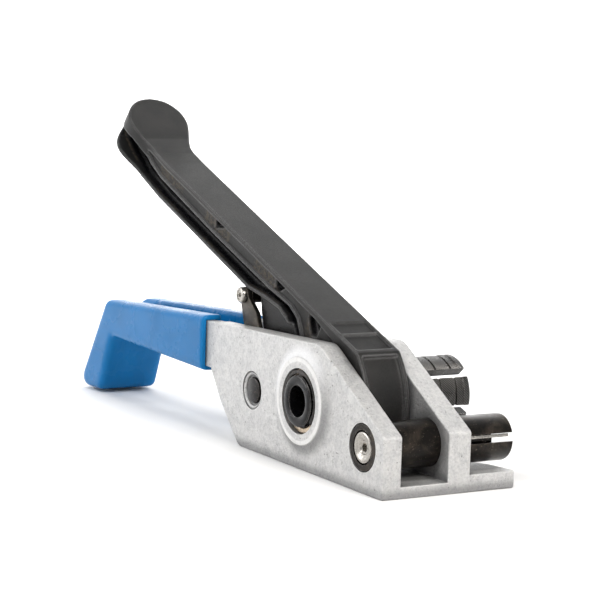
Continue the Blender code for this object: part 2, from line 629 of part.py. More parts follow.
holding_pawl_pin = turned("holding_pawl_pin", [(0.0, INNER + 6.0), (PAWL_PIN_R - 0.5, INNER + 6.0),
                                               (PAWL_PIN_R, INNER + 5.5), (PAWL_PIN_R, NEAR_OUT + 0.9),
                                               (PAWL_PIN_R - 0.5, NEAR_OUT + 0.4), (0.0, NEAR_OUT + 0.4)],
                          HOLD_PIVOT, 32, ring=False)
link(holding_pawl_pin, OXIDE)
holding_pawl_spring = coil("holding_pawl_spring", HOLD_PIVOT, 8.45, 0.45, 1.8, 6.7, 4)
link(holding_pawl_spring, STEEL)

release_bolt = turned("release_bolt", [(0.0, 12.0), (BOLT_R, 12.0), (BOLT_R, -ARM_PLATE[1] - GAP),
                                       (BOLT_HEAD_R, -ARM_PLATE[1] - GAP), (BOLT_HEAD_R, -12.8),
                                       (BOLT_HEAD_R - 0.5, -13.3), (1.6, -13.3), (1.6, -12.0), (0.0, -12.0)],
                      BOLT_AT, 28, ring=False)
link(release_bolt, STEEL)
release_nut = turned("release_nut", [(BOLT_HEAD_R, 13.6), (BOLT_HEAD_R, ARM_PLATE[1] + GAP),
                                     (BOLT_R + GAP, ARM_PLATE[1] + GAP), (BOLT_R + GAP, 13.6)], BOLT_AT, 6)
link(release_nut, STEEL)
release_roller = ring("release_roller", ROLLER_R, BOLT_R + GAP, -ARM_PLATE[0] + GAP, ARM_PLATE[0] - GAP,
                      BOLT_AT, 24)
link(release_roller, OXIDE, (BOLT_AT[0], 0.0, BOLT_AT[1]))

drive_body = (pawl_nose(DRIVE_CONTACT_DEG, 0.35) + [(-14.0, 56.0), (-30.0, 57.5)]
              + arc(DRIVE_PIVOT, 6.0, 60.0, 270.0, 10) + [(-30.0, 47.5)])
drive_pawl = flat("drive_pawl", drive_body, 0.4, 5.0)
join(drive_pawl, ring("drive_barrel", 5.4, DRIVE_PIN_R + GAP - 0.5, -5.0, 4.0, DRIVE_PIVOT, 28))
cut(drive_pawl, rod("drive_bore", DRIVE_PIN_R + GAP, -20.0, 20.0, DRIVE_PIVOT, 24))
link(drive_pawl, OXIDE, (DRIVE_PIVOT[0], 0.0, DRIVE_PIVOT[1]))
drive_pawl.rotation_euler.y = -math.radians(DRIVE_LIFT_DEG)
drive_pawl_pin = rod("drive_pawl_pin", DRIVE_PIN_R, -6.7, 6.7, DRIVE_PIVOT, 24)
link(drive_pawl_pin, STEEL)
drive_pawl_spring = coil("drive_pawl_spring", DRIVE_PIVOT, 6.25, 0.4, -4.4, -0.6, 4)
link(drive_pawl_spring, STEEL)

# ---- slotted front shaft and its cutter ------------------------------------------------------------------
SCREW_SEAT_R = 7.2
SCREW_SEAT_Y = NEAR_OUT + 3.4
front_shaft = turned("front_shaft", [(SHAFT_R - 0.6, SHAFT_END_Y), (SHAFT_R, SHAFT_END_Y - 0.6),
                                     (SHAFT_R, NEAR_OUT + 0.5), (SHAFT_R - 0.5, NEAR_OUT),
                                     (SCREW_SEAT_R, NEAR_OUT),
                                     (SCREW_SEAT_R, SCREW_SEAT_Y), (SHAFT_BORE_R, SCREW_SEAT_Y),
                                     (SHAFT_BORE_R, SHAFT_END_Y)], SHAFT, 48)


def tilted_box(name, low, high, degrees=SHAFT_SLOT_DEG):
    """Box in the front shaft's own axes, with local X turned up at the front by degrees."""
    made = box(name, low, high)
    made.data.transform(Matrix.Translation((SHAFT_X * MM, 0.0, SHAFT_Z * MM))
                        @ Matrix.Rotation(-math.radians(degrees), 4, "Y"))
    return made


cut(front_shaft, tilted_box("front_slot", (-12.0, SLOT_START_Y, -SHAFT_SLOT / 2.0),
                            (12.0, 60.0, SHAFT_SLOT / 2.0)))
link(front_shaft, OXIDE)

# at rest the core's slot is turned away and shuts the shaft's slot
CORE_SLOT_DEG = SHAFT_SLOT_DEG + 60.0
cutter_core = turned("cutter_core", [(0.0, CORE_END_Y), (CORE_R - 0.4, CORE_END_Y),
                                     (CORE_R, CORE_END_Y - 0.4),
                                     (CORE_R, NEAR_OUT + 4.2), (CORE_R - 0.4, NEAR_OUT + 3.8),
                                     (2.6, NEAR_OUT + 3.8), (2.6, NEAR_OUT + 14.0), (0.0, NEAR_OUT + 14.0)],
                     SHAFT, 40, ring=False)
cut(cutter_core, tilted_box("core_slot", (-12.0, SLOT_START_Y, -SHAFT_SLOT / 2.0),
                            (12.0, 60.0, SHAFT_SLOT / 2.0),
                            CORE_SLOT_DEG))
link(cutter_core, OXIDE, (SHAFT_X, 0.0, SHAFT_Z))

cutter_blade = tilted_box("cutter_blade", (SHAFT_BORE_R + 0.3, SLOT_START_Y + 0.5, SHAFT_SLOT / 2.0 - 1.6),
                          (SHAFT_R - 0.5, SHAFT_END_Y - 2.2, SHAFT_SLOT / 2.0 - GAP))
link(cutter_blade, STEEL)

cutter_screw = turned("cutter_screw", [(0.0, NEAR_OUT + 12.0), (2.3, NEAR_OUT + 12.0),
                                       (2.3, SCREW_SEAT_Y - 0.4),
                                       (6.7, SCREW_SEAT_Y - 0.4), (6.7, NEAR_OUT + 0.6),
                                       (6.0, NEAR_OUT - 0.1),
                                       (2.1, NEAR_OUT - 0.1), (2.1, NEAR_OUT + 2.2), (0.0, NEAR_OUT + 2.2)],
                      SHAFT, 40, ring=False)
link(cutter_screw, STEEL, (SHAFT_X, 0.0, SHAFT_Z))

# ---- origin ----------------------------------------------------------------------------------------------
# everything above is measured from the windlass axis; the tool's own origin is under the front shaft
for collection in (parts, cutters):
    for obj in collection.objects:
        obj.location.x -= SHAFT_X * MM
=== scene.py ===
"""Looks of the strap tensioner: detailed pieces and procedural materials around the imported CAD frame."""

import math

import bmesh
import bpy
from mathutils import Matrix, Vector


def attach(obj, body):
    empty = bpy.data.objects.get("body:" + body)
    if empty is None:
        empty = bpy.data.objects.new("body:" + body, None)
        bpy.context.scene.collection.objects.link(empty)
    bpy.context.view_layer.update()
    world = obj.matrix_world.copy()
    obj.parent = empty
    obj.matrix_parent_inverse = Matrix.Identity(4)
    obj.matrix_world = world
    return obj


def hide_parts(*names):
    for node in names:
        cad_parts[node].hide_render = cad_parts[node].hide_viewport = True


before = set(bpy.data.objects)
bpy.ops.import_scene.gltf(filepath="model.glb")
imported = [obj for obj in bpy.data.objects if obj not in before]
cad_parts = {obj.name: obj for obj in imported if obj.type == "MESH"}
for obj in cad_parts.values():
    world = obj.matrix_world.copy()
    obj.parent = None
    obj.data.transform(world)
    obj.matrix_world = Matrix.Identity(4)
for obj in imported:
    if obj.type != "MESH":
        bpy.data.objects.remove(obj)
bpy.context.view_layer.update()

MM = 0.001
GAP = 0.3

# ---- driving dimensions, in millimetres, X measured from the windlass axis -------------------------------
INNER = 11.4                                # half the clear width between the cheeks
NEAR_OUT = -20.4
FAR_OUT = 22.4
FRONT_X = 65.0
FRONT_TOP = 25.6
CROWN = (12.2, 56.2)
HEEL_X = -57.0
FLOOR_THICK = 5.0
FLOOR_FRONT_X = 33.0
FLOOR_REAR_X = -41.0
FOOT_Y = 46.2
FOOT_THICK = 7.5
FOOT_BACK_X = 41.5
BOSS_TOP_R = 18.2
BOSS_BASE_R = 29.5
BOSS_RISE = 2.2
CAST_EDGE = 0.7                             # rounding of the casting's edges

SKIN = 2.6
NEAR_RAIL = (NEAR_OUT + 0.2, NEAR_OUT + 5.8)
FAR_RAIL = (2.0, 7.8)
RAIL_ROOT_X = -80.0
SLEEVE_FRONT_X = -91.0
SADDLE_DROP = 6.0
GRIP_CORNERS = [(RAIL_ROOT_X, 56.1, 0.0), (-201.0, 50.0, 6.0), (-233.5, 0.8, 5.4), (-206.0, 1.6, 4.5),
                (-193.0, 31.4, 4.0), (RAIL_ROOT_X, 28.9, 0.0)]

AXLE = (0.0, 30.0)
AXLE_R = 11.2
AXLE_BORE_R = 6.6
AXLE_END_Y = -23.6
BUSH_R = 13.9
DRUM_R = 16.6
DRUM_BORE_R = 10.7
DRUM_START_Y = 23.8
DRUM_END_Y = 55.6
DRUM_SLOT = 4.4
DRUM_SLOTS_DEG = (40.0, 100.0, 160.0)
DRUM_GROOVES_Y = (40.0, 48.0)
CLIP_Y = (-22.4, -21.2)
CLIP_R = 13.4

HOLD_PIVOT = (-45.0, 27.4)
HOLD_PIN_R = 5.8
DRIVE_PIVOT = (-39.0, 50.5)
DRIVE_PIN_R = 3.0
WHEEL_TIP_R = 22.4
WHEEL_ROOT_R = 20.2
FACE_LEAN_DEG = 2.4
HOLD_CONTACT_DEG = 140.0

LEVER_TILT_DEG = 20.4
LEVER_FOOT = (11.1, 59.9)
LEVER_HALF = 10.8
KNOB_HALF = 16.0
NECK_S = 194.0
KNOB_S = 219.3
KNOB_EDGE = 3.0                             # rounding of the knob's end
FACE_START = (204.0, 2.9)                   # where the knob's tilted face starts, along and above the arm
FACE_TILT_DEG = 23.0
ARM_TIP_S = 237.5
WEB_FLOOR = 9.5                             # half the arm's thickness at the shallow web
CHANNEL_FLOOR = 4.6                         # and at the deep channel below it
HUB_R = 36.0
HUB_PLATE_R = 27.0

BOLT_AT = (-72.7, 66.9)
BOLT_R = 1.9
BOLT_HEAD_R = 3.7
ROLLER_R = 3.8
ARM_PLATE = (8.5, 11.0)

SHAFT = (49.0, 18.9)
SHAFT_R = 10.0
SHAFT_BORE_R = 6.5
SHAFT_END_Y = 48.2
SHAFT_SLOT = 3.7
SHAFT_SLOT_DEG = 9.3
SLOT_START_Y = 23.5
SCREW_SEAT_R = 7.2
SCREW_SEAT_Y = NEAR_OUT + 3.4

ORIGIN_SHIFT = Matrix.Translation((-SHAFT[0] * MM, 0.0, 0.0))


# ---- mesh helpers ----------------------------------------------------------------------------------------
def scene_object(name, mesh):
    made = bpy.data.objects.new(name, mesh)
    bpy.context.scene.collection.objects.link(made)
    return made


def evaluated_mesh(obj):
    """The object's mesh with its modifiers applied; the object itself is removed."""
    bpy.context.view_layer.update()
    graph = bpy.context.evaluated_depsgraph_get()
    mesh = bpy.data.meshes.new_from_object(obj.evaluated_get(graph))
    mesh.transform(obj.matrix_world)
    bpy.data.objects.remove(obj, do_unlink=True)
    return mesh


def tidied(mesh):
    shape = bmesh.new()
    shape.from_mesh(mesh)
    bmesh.ops.remove_doubles(shape, verts=shape.verts, dist=2e-6)
    bmesh.ops.recalc_face_normals(shape, faces=shape.faces)
    shape.to_mesh(mesh)
    shape.free()
    return mesh


def polar(radius, degrees, centre=AXLE):
    turn = math.radians(degrees)
    return centre[0] + radius * math.cos(turn), centre[1] + radius * math.sin(turn)


def arc(centre, radius, start_deg, end_deg, steps):
    return [polar(radius, start_deg + (end_deg - start_deg) * k / steps, centre) for k in range(steps + 1)]


def rounded(corners, steps=8):
    """Outline from (x, z, radius) corners, each corner replaced by an arc of its radius."""
    points = []
    count = len(corners)
    for k, (x, z, radius) in enumerate(corners):
        here = Vector((x, z))
        if radius <= 0.0:
            points.append((x, z))
            continue
        back = (Vector(corners[k - 1][:2]) - here).normalized()
        ahead = (Vector(corners[(k + 1) % count][:2]) - here).normalized()
        half = back.angle(ahead) / 2.0
        centre = here + (back + ahead).normalized() * (radius / math.sin(half))
        start = here + back * (radius / math.tan(half)) - centre
        end = here + ahead * (radius / math.tan(half)) - centre
        sweep = math.atan2(start.x * end.y - start.y * end.x, start.dot(end))
        points += [tuple(centre + Matrix.Rotation(sweep * j / steps, 2) @ start) for j in range(steps + 1)]
    return points


def grown(corners, distance):
    """The same (x, z, radius) corners, listed anticlockwise, with every side moved outwards."""
    moved = []
    count = len(corners)
    for k, (x, z, radius) in enumerate(corners):
        here = Vector((x, z))
        side_in = (here - Vector(corners[k - 1][:2])).normalized()
        side_out = (Vector(corners[(k + 1) % count][:2]) - here).normalized()
        out_in = Vector((side_in.y, -side_in.x))
        out_out = Vector((side_out.y, -side_out.x))
        reach = distance / (1.0 + out_in.dot(out_out))
        convex = side_in.x * side_out.y - side_in.y * side_out.x > 0.0
        new_radius = radius + distance if convex else max(radius - distance, 0.5)
        moved.append((*(here + (out_in + out_out) * reach), new_radius if radius > 0.0 else 0.0))
    return moved


UPRIGHT = Matrix.Rotation(math.radians(90.0), 4, "X")


def flat(name, outline, low, high, edge=0.0, stand=UPRIGHT):
    """Solid of a flat outline between two distances, its rims rounded by edge."""
    curve = bpy.data.curves.new(name, "CURVE")
    curve.dimensions = "2D"
    curve.fill_mode = "BOTH"
    curve.extrude = ((high - low) / 2.0 - edge) * MM
    curve.bevel_depth = edge * MM
    curve.offset = -edge * MM
    curve.bevel_resolution = 2
    spline = curve.splines.new("POLY")
    spline.points.add(len(outline) - 1)
    for point, (u, v) in zip(spline.points, outline):
        point.co = (u * MM, v * MM, 0.0, 1.0)
    spline.use_cyclic_u = True
    mesh = evaluated_mesh(scene_object(name, curve))
    mesh.transform(stand @ Matrix.Translation((0.0, 0.0, -(low + high) / 2.0 * MM)))
    return scene_object(name, tidied(mesh))


def box(name, low, high, edge=0.0):
    size = [(b - a) * MM for a, b in zip(low, high)]
    centre = [(a + b) / 2.0 * MM for a, b in zip(low, high)]
    shape = bmesh.new()
    bmesh.ops.create_cube(shape, size=1.0, matrix=Matrix.Translation(centre) @ Matrix.Diagonal((*size, 1.0)))
    if edge > 0.0:
        bmesh.ops.bevel(shape, geom=list(shape.edges), offset=edge * MM, segments=3, profile=0.5,
                        affect="EDGES", clamp_overlap=True)
    mesh = bpy.data.meshes.new(name)
    shape.to_mesh(mesh)
    shape.free()
    return scene_object(name, mesh)


def turned(name, profile, at, segments=96, ring=True):
    """Turned piece along Y at an (x, z) place, from (radius, y) points going down the outer side first."""
    mesh = bpy.data.meshes.new(name)
    last = len(profile)
    edges = [(k, (k + 1) % last) for k in range(last if ring else last - 1)]
    mesh.from_pydata([(r * MM, 0.0, y * MM) for r, y in profile], edges, [])
    made = scene_object(name, mesh)
    step = made.modifiers.new("turn", "SCREW")
    step.axis = "Z"
    step.steps = segments
    step.render_steps = segments
    step.use_merge_vertices = True
    step.merge_threshold = 1e-6
    solid = evaluated_mesh(made)
    lie = Matrix.Rotation(math.radians(-90.0), 4, "X")
    solid.transform(Matrix.Translation((at[0] * MM, 0.0, at[1] * MM)) @ lie)
    return scene_object(name, tidied(solid))


def rod(name, radius, low, high, at, segments=64):
    return turned(name, [(0.0, high), (radius, high), (radius, low), (0.0, low)], at, segments, ring=False)


def combine(target, tools, operation):
    """Applies Booleans one after another and removes the tools."""
    for tool in tools:
        step = target.modifiers.new("step", "BOOLEAN")
        step.operation = operation
        step.solver = "EXACT"
        step.object = tool
        bpy.context.view_layer.update()
        graph = bpy.context.evaluated_depsgraph_get()
        mesh = bpy.data.meshes.new_from_object(target.evaluated_get(graph))
        target.modifiers.clear()
        target.data = mesh
        bpy.data.objects.remove(tool, do_unlink=True)
    return target


def cut(target, *tools):
    return combine(target, tools, "DIFFERENCE")


def join(target, *tools):
    return combine(target, tools, "UNION")


def keep_common(target, tool):
    return combine(target, [tool], "INTERSECT")


def softened(obj, voxel, passes, keep_share=1.0):
    """Remeshes a solid and smooths it, so every edge and corner is rounded as on a casting."""
    step = obj.modifiers.new("voxels", "REMESH")
    step.mode = "VOXEL"
    step.voxel_size = voxel * MM
    relax = obj.modifiers.new("relax", "SMOOTH")
    relax.factor = 0.5
    relax.iterations = passes
    if keep_share < 1.0:
        thin = obj.modifiers.new("thin", "DECIMATE")
        thin.ratio = keep_share
    name = obj.name
    mesh = evaluated_mesh(obj)
    return scene_object(name, mesh)


def shade(obj, angle_deg=32.0):
    obj.data.shade_smooth()
    obj.data.set_sharp_from_angle(angle=math.radians(angle_deg))
    return obj


def flat_weighted(obj):
    """Keeps large faces flat in the shading, so that shallow flares and rounded rims show."""
    shade(obj, 38.0)
    step = obj.modifiers.new("weights", "WEIGHTED_NORMAL")
    step.keep_sharp = True
    step.weight = 80
    name = obj.name
    return scene_object(name, evaluated_mesh(obj))


def show(obj, coating, body, slot, *nodes):
    """Moves a finished piece into the shared frame and ties it to its body and CAD nodes; the slot argument
    is not used.
    """
    obj.data.transform(ORIGIN_SHIFT @ obj.matrix_world)
    obj.matrix_world = Matrix.Identity(4)
    obj.data.materials.clear()
    obj.data.materials.append(coating)
    obj.name = nodes[0] + "_look"
    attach(obj, body)
    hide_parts(*nodes)
    return obj


# ---- materials -------------------------------------------------------------------------------------------
class Nodes:
    """Short way to write a node tree around one Principled shader."""

    def __init__(self, name):
        self.material = bpy.data.materials.new(name)
        self.material.use_nodes = True
        self.tree = self.material.node_tree
        self.shader = self.tree.nodes["Principled BSDF"]
        self.place = self.add("ShaderNodeTexCoord").outputs["Object"]

    def add(self, kind, **values):
        node = self.tree.nodes.new(kind)
        for key, value in values.items():
            setattr(node, key, value)
        return node

    def link(self, source, target):
        self.tree.links.new(source, target)

    def noise(self, scale, detail=4.0, rough=0.55, stretch=(1.0, 1.0, 1.0), warp=0.0):
        node = self.add("ShaderNodeTexNoise")
        node.inputs["Scale"].default_value = scale
        node.inputs["Detail"].default_value = detail
        node.inputs["Roughness"].default_value = rough
        node.inputs["Distortion"].default_value = warp
        if stretch != (1.0, 1.0, 1.0):
            mapping = self.add("ShaderNodeMapping")
            mapping.inputs["Scale"].default_value = stretch
            self.link(self.place, mapping.inputs["Vector"])
            self.link(mapping.outputs[0], node.inputs["Vector"])
        else:
            self.link(self.place, node.inputs["Vector"])
        return node.outputs["Fac"]

    def remap(self, value, low, high, out_low=0.0, out_high=1.0):
        node = self.add("ShaderNodeMapRange", interpolation_type="SMOOTHSTEP")
        limits = {"From Min": low, "From Max": high, "To Min": out_low, "To Max": out_high}
        for socket, number in limits.items():
            node.inputs[socket].default_value = number
        self.link(value, node.inputs["Value"])
        return node.outputs["Result"]

    def math(self, operation, first, second):
        node = self.add("ShaderNodeMath", operation=operation)
        for socket, value in zip(node.inputs, (first, second)):
            if isinstance(value, (int, float)):
                socket.default_value = value
            else:
                self.link(value, socket)
        return node.outputs[0]

    def mix(self, share, first, second, blend="MIX"):
        node = self.add("ShaderNodeMix", data_type="RGBA", blend_type=blend)
        colours = [s for s in node.inputs if s.type == "RGBA"]
        for socket, value in zip(colours, (first, second)):
            if isinstance(value, tuple):
                socket.default_value = (*value, 1.0)
            else:
                self.link(value, socket)
        if isinstance(share, (int, float)):
            node.inputs[0].default_value = share
        else:
            self.link(share, node.inputs[0])
        return next(s for s in node.outputs if s.type == "RGBA")

    def edges(self, radius):
        """1 on sharp outer and inner edges, 0 on flats."""
        bevel = self.add("ShaderNodeBevel", samples=4)
        bevel.inputs["Radius"].default_value = radius
        geometry = self.add("ShaderNodeNewGeometry")
        dot = self.add("ShaderNodeVectorMath", operation="DOT_PRODUCT")
        self.link(bevel.outputs[0], dot.inputs[0])
        self.link(geometry.outputs["Normal"], dot.inputs[1])
        return self.remap(dot.outputs["Value"], 0.995, 0.90)

    def hollows(self, reach):
        """0 in tight hollows and at the foot of steps, 1 in the open."""
        node = self.add("ShaderNodeAmbientOcclusion", samples=8)
        node.inputs["Distance"].default_value = reach
        return node.outputs["AO"]

    def along(self, direction, start):
        """Distance in metres along a direction from a start point given in millimetres."""
        node = self.add("ShaderNodeVectorMath", operation="DOT_PRODUCT")
        self.link(self.place, node.inputs[0])
        node.inputs[1].default_value = direction
        return self.math("SUBTRACT", node.outputs["Value"], Vector(direction).dot(Vector(start)) * MM)

    def around_axle(self):
        """Place measured from the windlass axis, in metres: x, z, distance from the axis, and y along it."""
        split = self.add("ShaderNodeSeparateXYZ")
        self.link(self.place, split.inputs[0])
        x = self.math("SUBTRACT", split.outputs["X"], (AXLE[0] - SHAFT[0]) * MM)
        z = self.math("SUBTRACT", split.outputs["Z"], AXLE[1] * MM)
        squares = self.math("ADD", self.math("MULTIPLY", x, x), self.math("MULTIPLY", z, z))
        return x, z, self.math("SQRT", squares, 0.0), split.outputs["Y"]

    def bump(self, height, strength, distance, soft_edge=0.0):
        node = self.add("ShaderNodeBump")
        node.inputs["Strength"].default_value = strength
        node.inputs["Distance"].default_value = distance
        self.link(height, node.inputs["Height"])
        if soft_edge > 0.0:
            bevel = self.add("ShaderNodeBevel", samples=4)
            bevel.inputs["Radius"].default_value = soft_edge
            self.link(bevel.outputs[0], node.inputs["Normal"])
        return node.outputs[0]

    def finish(self, colour, rough, normal=None, metallic=0.0, **sockets):
        for socket, value in (("Base Color", colour), ("Roughness", rough), ("Metallic", metallic)):
            target = self.shader.inputs[socket]
            if isinstance(value, tuple):
                target.default_value = (*value, 1.0)
            elif isinstance(value, (int, float)):
                target.default_value = value
            else:
                self.link(value, target)
        for socket, value in sockets.items():
            self.shader.inputs[socket.replace("_", " ")].default_value = value
        if normal is not None:
            self.link(normal, self.shader.inputs["Normal"])
        return self.material


def cast_aluminium():
    """Tumbled die casting: pale, speckled, pitted and scuffed, worn bright on edges, with painted shadow and
    highlights around the boss and painted shade in hollows.
    """
    n = Nodes("cast_aluminium_look")
    blotch = n.remap(n.noise(190.0, 7.0, 0.72, warp=0.6), 0.34, 0.68)
    speckle = n.remap(n.noise(950.0, 4.0, 0.72), 0.36, 0.66)
    colour = n.mix(blotch, (0.45, 0.45, 0.455), (0.60, 0.595, 0.585))
    colour = n.mix(n.math("MULTIPLY", speckle, 0.45), colour, (0.74, 0.735, 0.725))
    dark = n.remap(n.noise(820.0, 4.0, 0.7), 0.585, 0.70)
    patch = n.remap(n.noise(120.0, 3.0), 0.42, 0.56)
    dark = n.math("MULTIPLY", dark, n.math("ADD", n.math("MULTIPLY", patch, 0.8), 0.2))
    colour = n.mix(n.math("MULTIPLY", dark, 0.85), colour, (0.10, 0.097, 0.092))
    scuffs = n.remap(n.noise(110.0, 7.0, 0.8, (1.0, 1.0, 6.0), 2.0), 0.60, 0.70)
    colour = n.mix(n.math("MULTIPLY", scuffs, 0.30), colour, (0.30, 0.29, 0.27))
    edge = n.edges(0.0007)
    colour = n.mix(n.math("MULTIPLY", edge, 0.75), colour, (0.85, 0.84, 0.82))
    # painted shadow below the axle boss, and painted highlights on the flare above it and on the lip
    x, z, radius, depth = n.around_axle()
    on_flare = n.remap(depth, (NEAR_OUT + 0.3) * MM, (NEAR_OUT - 0.1) * MM)
    ring = n.math("MULTIPLY", n.remap(radius, (BOSS_TOP_R + 0.5) * MM, (BOSS_TOP_R + 1.2) * MM),
                  n.remap(radius, (BOSS_TOP_R + 7.5) * MM, (BOSS_TOP_R + 2.0) * MM))
    below = n.math("DIVIDE", n.math("SUBTRACT", n.math("MULTIPLY", x, 0.45), z), radius)
    flare_ring = n.math("MULTIPLY", ring, on_flare)
    painted_shadow_below_boss = n.math("MULTIPLY", flare_ring, n.remap(below, -0.55, 0.95, 0.05, 0.62))
    colour = n.mix(painted_shadow_below_boss, colour, (0.13, 0.13, 0.135))
    painted_highlight_above_boss = n.math("MULTIPLY", flare_ring, n.remap(below, 0.2, -0.9, 0.0, 0.7))
    colour = n.mix(painted_highlight_above_boss, colour, (0.88, 0.88, 0.89))
    # painted highlight: a bright ring on the boss's lip
    lip = n.math("MULTIPLY", n.remap(radius, (BOSS_TOP_R - 1.6) * MM, (BOSS_TOP_R - 0.9) * MM),
                 n.remap(radius, (BOSS_TOP_R + 0.9) * MM, (BOSS_TOP_R + 0.4) * MM))
    colour = n.mix(n.math("MULTIPLY", n.math("MULTIPLY", lip, on_flare), 0.6), colour, (0.86, 0.855, 0.84))
    # painted shade: darker in hollows, creases and at the foot of steps
    painted_hollow_shade = n.remap(n.hollows(0.006), 0.97, 0.72)
    colour = n.mix(n.math("MULTIPLY", painted_hollow_shade, 0.62), colour, (0.13, 0.13, 0.135))
    rough = n.remap(speckle, 0.0, 1.0, 0.44, 0.33)
    relief = n.math("ADD", n.math("MULTIPLY", speckle, 0.8), n.math("MULTIPLY", blotch, 0.6))
    relief = n.math("SUBTRACT", relief, n.math("MULTIPLY", dark, 1.0))
    return n.finish(colour, rough, n.bump(relief, 0.85, 0.00018, soft_edge=0.0005), metallic=0.60)


def blue_vinyl():
    """Dipped vinyl: deep gloss blue with a very slight orange peel."""
    n = Nodes("blue_vinyl_look")
    drift = n.remap(n.noise(35.0, 3.0), 0.3, 0.7)
    colour = n.mix(drift, (0.004, 0.135, 0.350), (0.006, 0.155, 0.400))
    haze = n.remap(n.noise(60.0, 3.0), 0.35, 0.70)
    rough = n.remap(haze, 0.0, 1.0, 0.24, 0.34)
    height = n.noise(260.0, 2.0)
    return n.finish(colour, rough, n.bump(height, 0.12, 0.00010), Specular_IOR_Level=0.14)


def black_coating():
    """Satin black coat over a die casting; the web floors are matt and brownish, the channels glossy and
    painted near black as shade, the edges worn and painted bright as highlights.
    """
    n = Nodes("black_coating_look")
    slope = math.radians(LEVER_TILT_DEG)
    foot = (LEVER_FOOT[0] - SHAFT[0], LEVER_FOOT[1])
    along = n.along((-math.cos(slope), 0.0, math.sin(slope)), (foot[0], 0.0, foot[1]))
    height = n.along((math.sin(slope), 0.0, math.cos(slope)), (foot[0], 0.0, foot[1]))
    across = n.math("ABSOLUTE", n.along((0.0, 1.0, 0.0), (0.0, 0.0, 0.0)), 0.0)
    arm = n.remap(along, 18.0 * MM, 24.0 * MM)
    below = n.remap(height, -0.8 * MM, -2.2 * MM)
    side = n.math("MULTIPLY", arm, below)
    deep = n.math("MULTIPLY", n.remap(across, (WEB_FLOOR - 0.3) * MM, (WEB_FLOOR - 2.5) * MM), side)
    web = n.math("MULTIPLY", n.remap(across, (WEB_FLOOR + 0.9) * MM, (WEB_FLOOR + 0.3) * MM), side)
    web = n.math("MULTIPLY", web, n.remap(across, (WEB_FLOOR - 1.0) * MM, (WEB_FLOOR - 0.3) * MM))
    patches = n.remap(n.math("SINE", n.math("MULTIPLY", along, 118.0), 0.0), -0.15, 0.1)
    rusty = n.remap(n.noise(520.0, 5.0, 0.7), 0.42, 0.60)
    grain = n.remap(n.noise(1500.0, 3.0, 0.7), 0.3, 0.7)
    cloud = n.remap(n.noise(70.0, 4.0), 0.35, 0.7)
    colour = n.mix(cloud, (0.011, 0.011, 0.011), (0.018, 0.0175, 0.017))
    colour = n.mix(n.math("MULTIPLY", grain, 0.22), colour, (0.034, 0.033, 0.032))
    brown = n.math("MULTIPLY", n.math("MULTIPLY", web, patches), n.math("MULTIPLY", rusty, 0.8))
    colour = n.mix(brown, colour, (0.085, 0.070, 0.052))
    # painted shade: the deep channels are coloured almost black
    colour = n.mix(deep, colour, (0.004, 0.004, 0.005))
    # worn paint on the edges, and a painted highlight along them
    edge = n.edges(0.0016)
    colour = n.mix(n.math("MULTIPLY", edge, 0.75), colour, (0.20, 0.198, 0.20))
    rough = n.math("SUBTRACT", n.remap(grain, 0.0, 1.0, 0.36, 0.48), n.math("MULTIPLY", deep, 0.20))
    rough = n.math("ADD", rough, n.math("MULTIPLY", brown, 0.2))
    relief = n.math("ADD", n.math("MULTIPLY", grain, 0.5), n.math("MULTIPLY", brown, 1.5))
    return n.finish(colour, rough, n.bump(relief, 0.4, 0.00012), metallic=0.0, Specular_IOR_Level=0.15)


def oxide(name, dark, light, turning, rough=(0.28, 0.45)):
    """Black-oxide steel with brown bloom and fine turning marks across the Y axis."""
    n = Nodes(name)
    bloom = n.remap(n.noise(110.0, 6.0, 0.65, warp=0.6), 0.42, 0.72)
    colour = n.mix(bloom, dark, light)
    speck = n.remap(n.noise(700.0, 3.0, 0.7), 0.60, 0.72)
    colour = n.mix(n.math("MULTIPLY", speck, 0.35), colour, (0.30, 0.25, 0.20))
    edge = n.edges(0.0004)
    colour = n.mix(n.math("MULTIPLY", edge, 0.55), colour, (0.22, 0.20, 0.18))
    roughness = n.remap(bloom, 0.0, 1.0, *rough)
    rings = n.noise(30.0, 4.0, 0.7, (0.3, 60.0, 0.3))
    height = n.math("ADD", n.math("MULTIPLY", rings, turning), n.math("MULTIPLY", speck, 0.3))
    return n.finish(colour, roughness, n.bump(height, 0.4, 0.00008, soft_edge=0.0003), metallic=0.85)


def knurled_oxide():
    """Blackened drum with a fine slanting knurl wound around the Y axis."""
    n = Nodes("knurled_oxide")
    x, z, radius, depth = n.around_axle()
    angle = n.math("ARCTAN2", z, x)
    lines = 90.0
    lead = 5200.0
    turns = n.math("ADD", n.math("MULTIPLY", angle, lines), n.math("MULTIPLY", depth, lead))
    wave = n.math("SINE", turns, 0.0)
    outside = n.remap(radius, (DRUM_R - 0.9) * MM, (DRUM_R - 0.3) * MM)
    knurl = n.math("MULTIPLY", wave, outside)
    worn = n.remap(n.noise(60.0, 5.0, 0.6), 0.4, 0.7)
    colour = n.mix(worn, (0.030, 0.029, 0.028), (0.062, 0.059, 0.055))
    tips = n.math("MULTIPLY", n.remap(knurl, 0.3, 0.95), 0.35)
    colour = n.mix(tips, colour, (0.24, 0.235, 0.225))
    bore = n.remap(radius, (DRUM_BORE_R + 2.1) * MM, (DRUM_BORE_R + 1.3) * MM)
    colour = n.mix(bore, colour, (0.010, 0.010, 0.011))
    edge = n.edges(0.0005)
    colour = n.mix(n.math("MULTIPLY", edge, 0.5), colour, (0.24, 0.23, 0.22))
    rough = n.remap(worn, 0.0, 1.0, 0.24, 0.40)
    return n.finish(colour, rough, n.bump(knurl, 0.8, 0.00010), metallic=0.75)


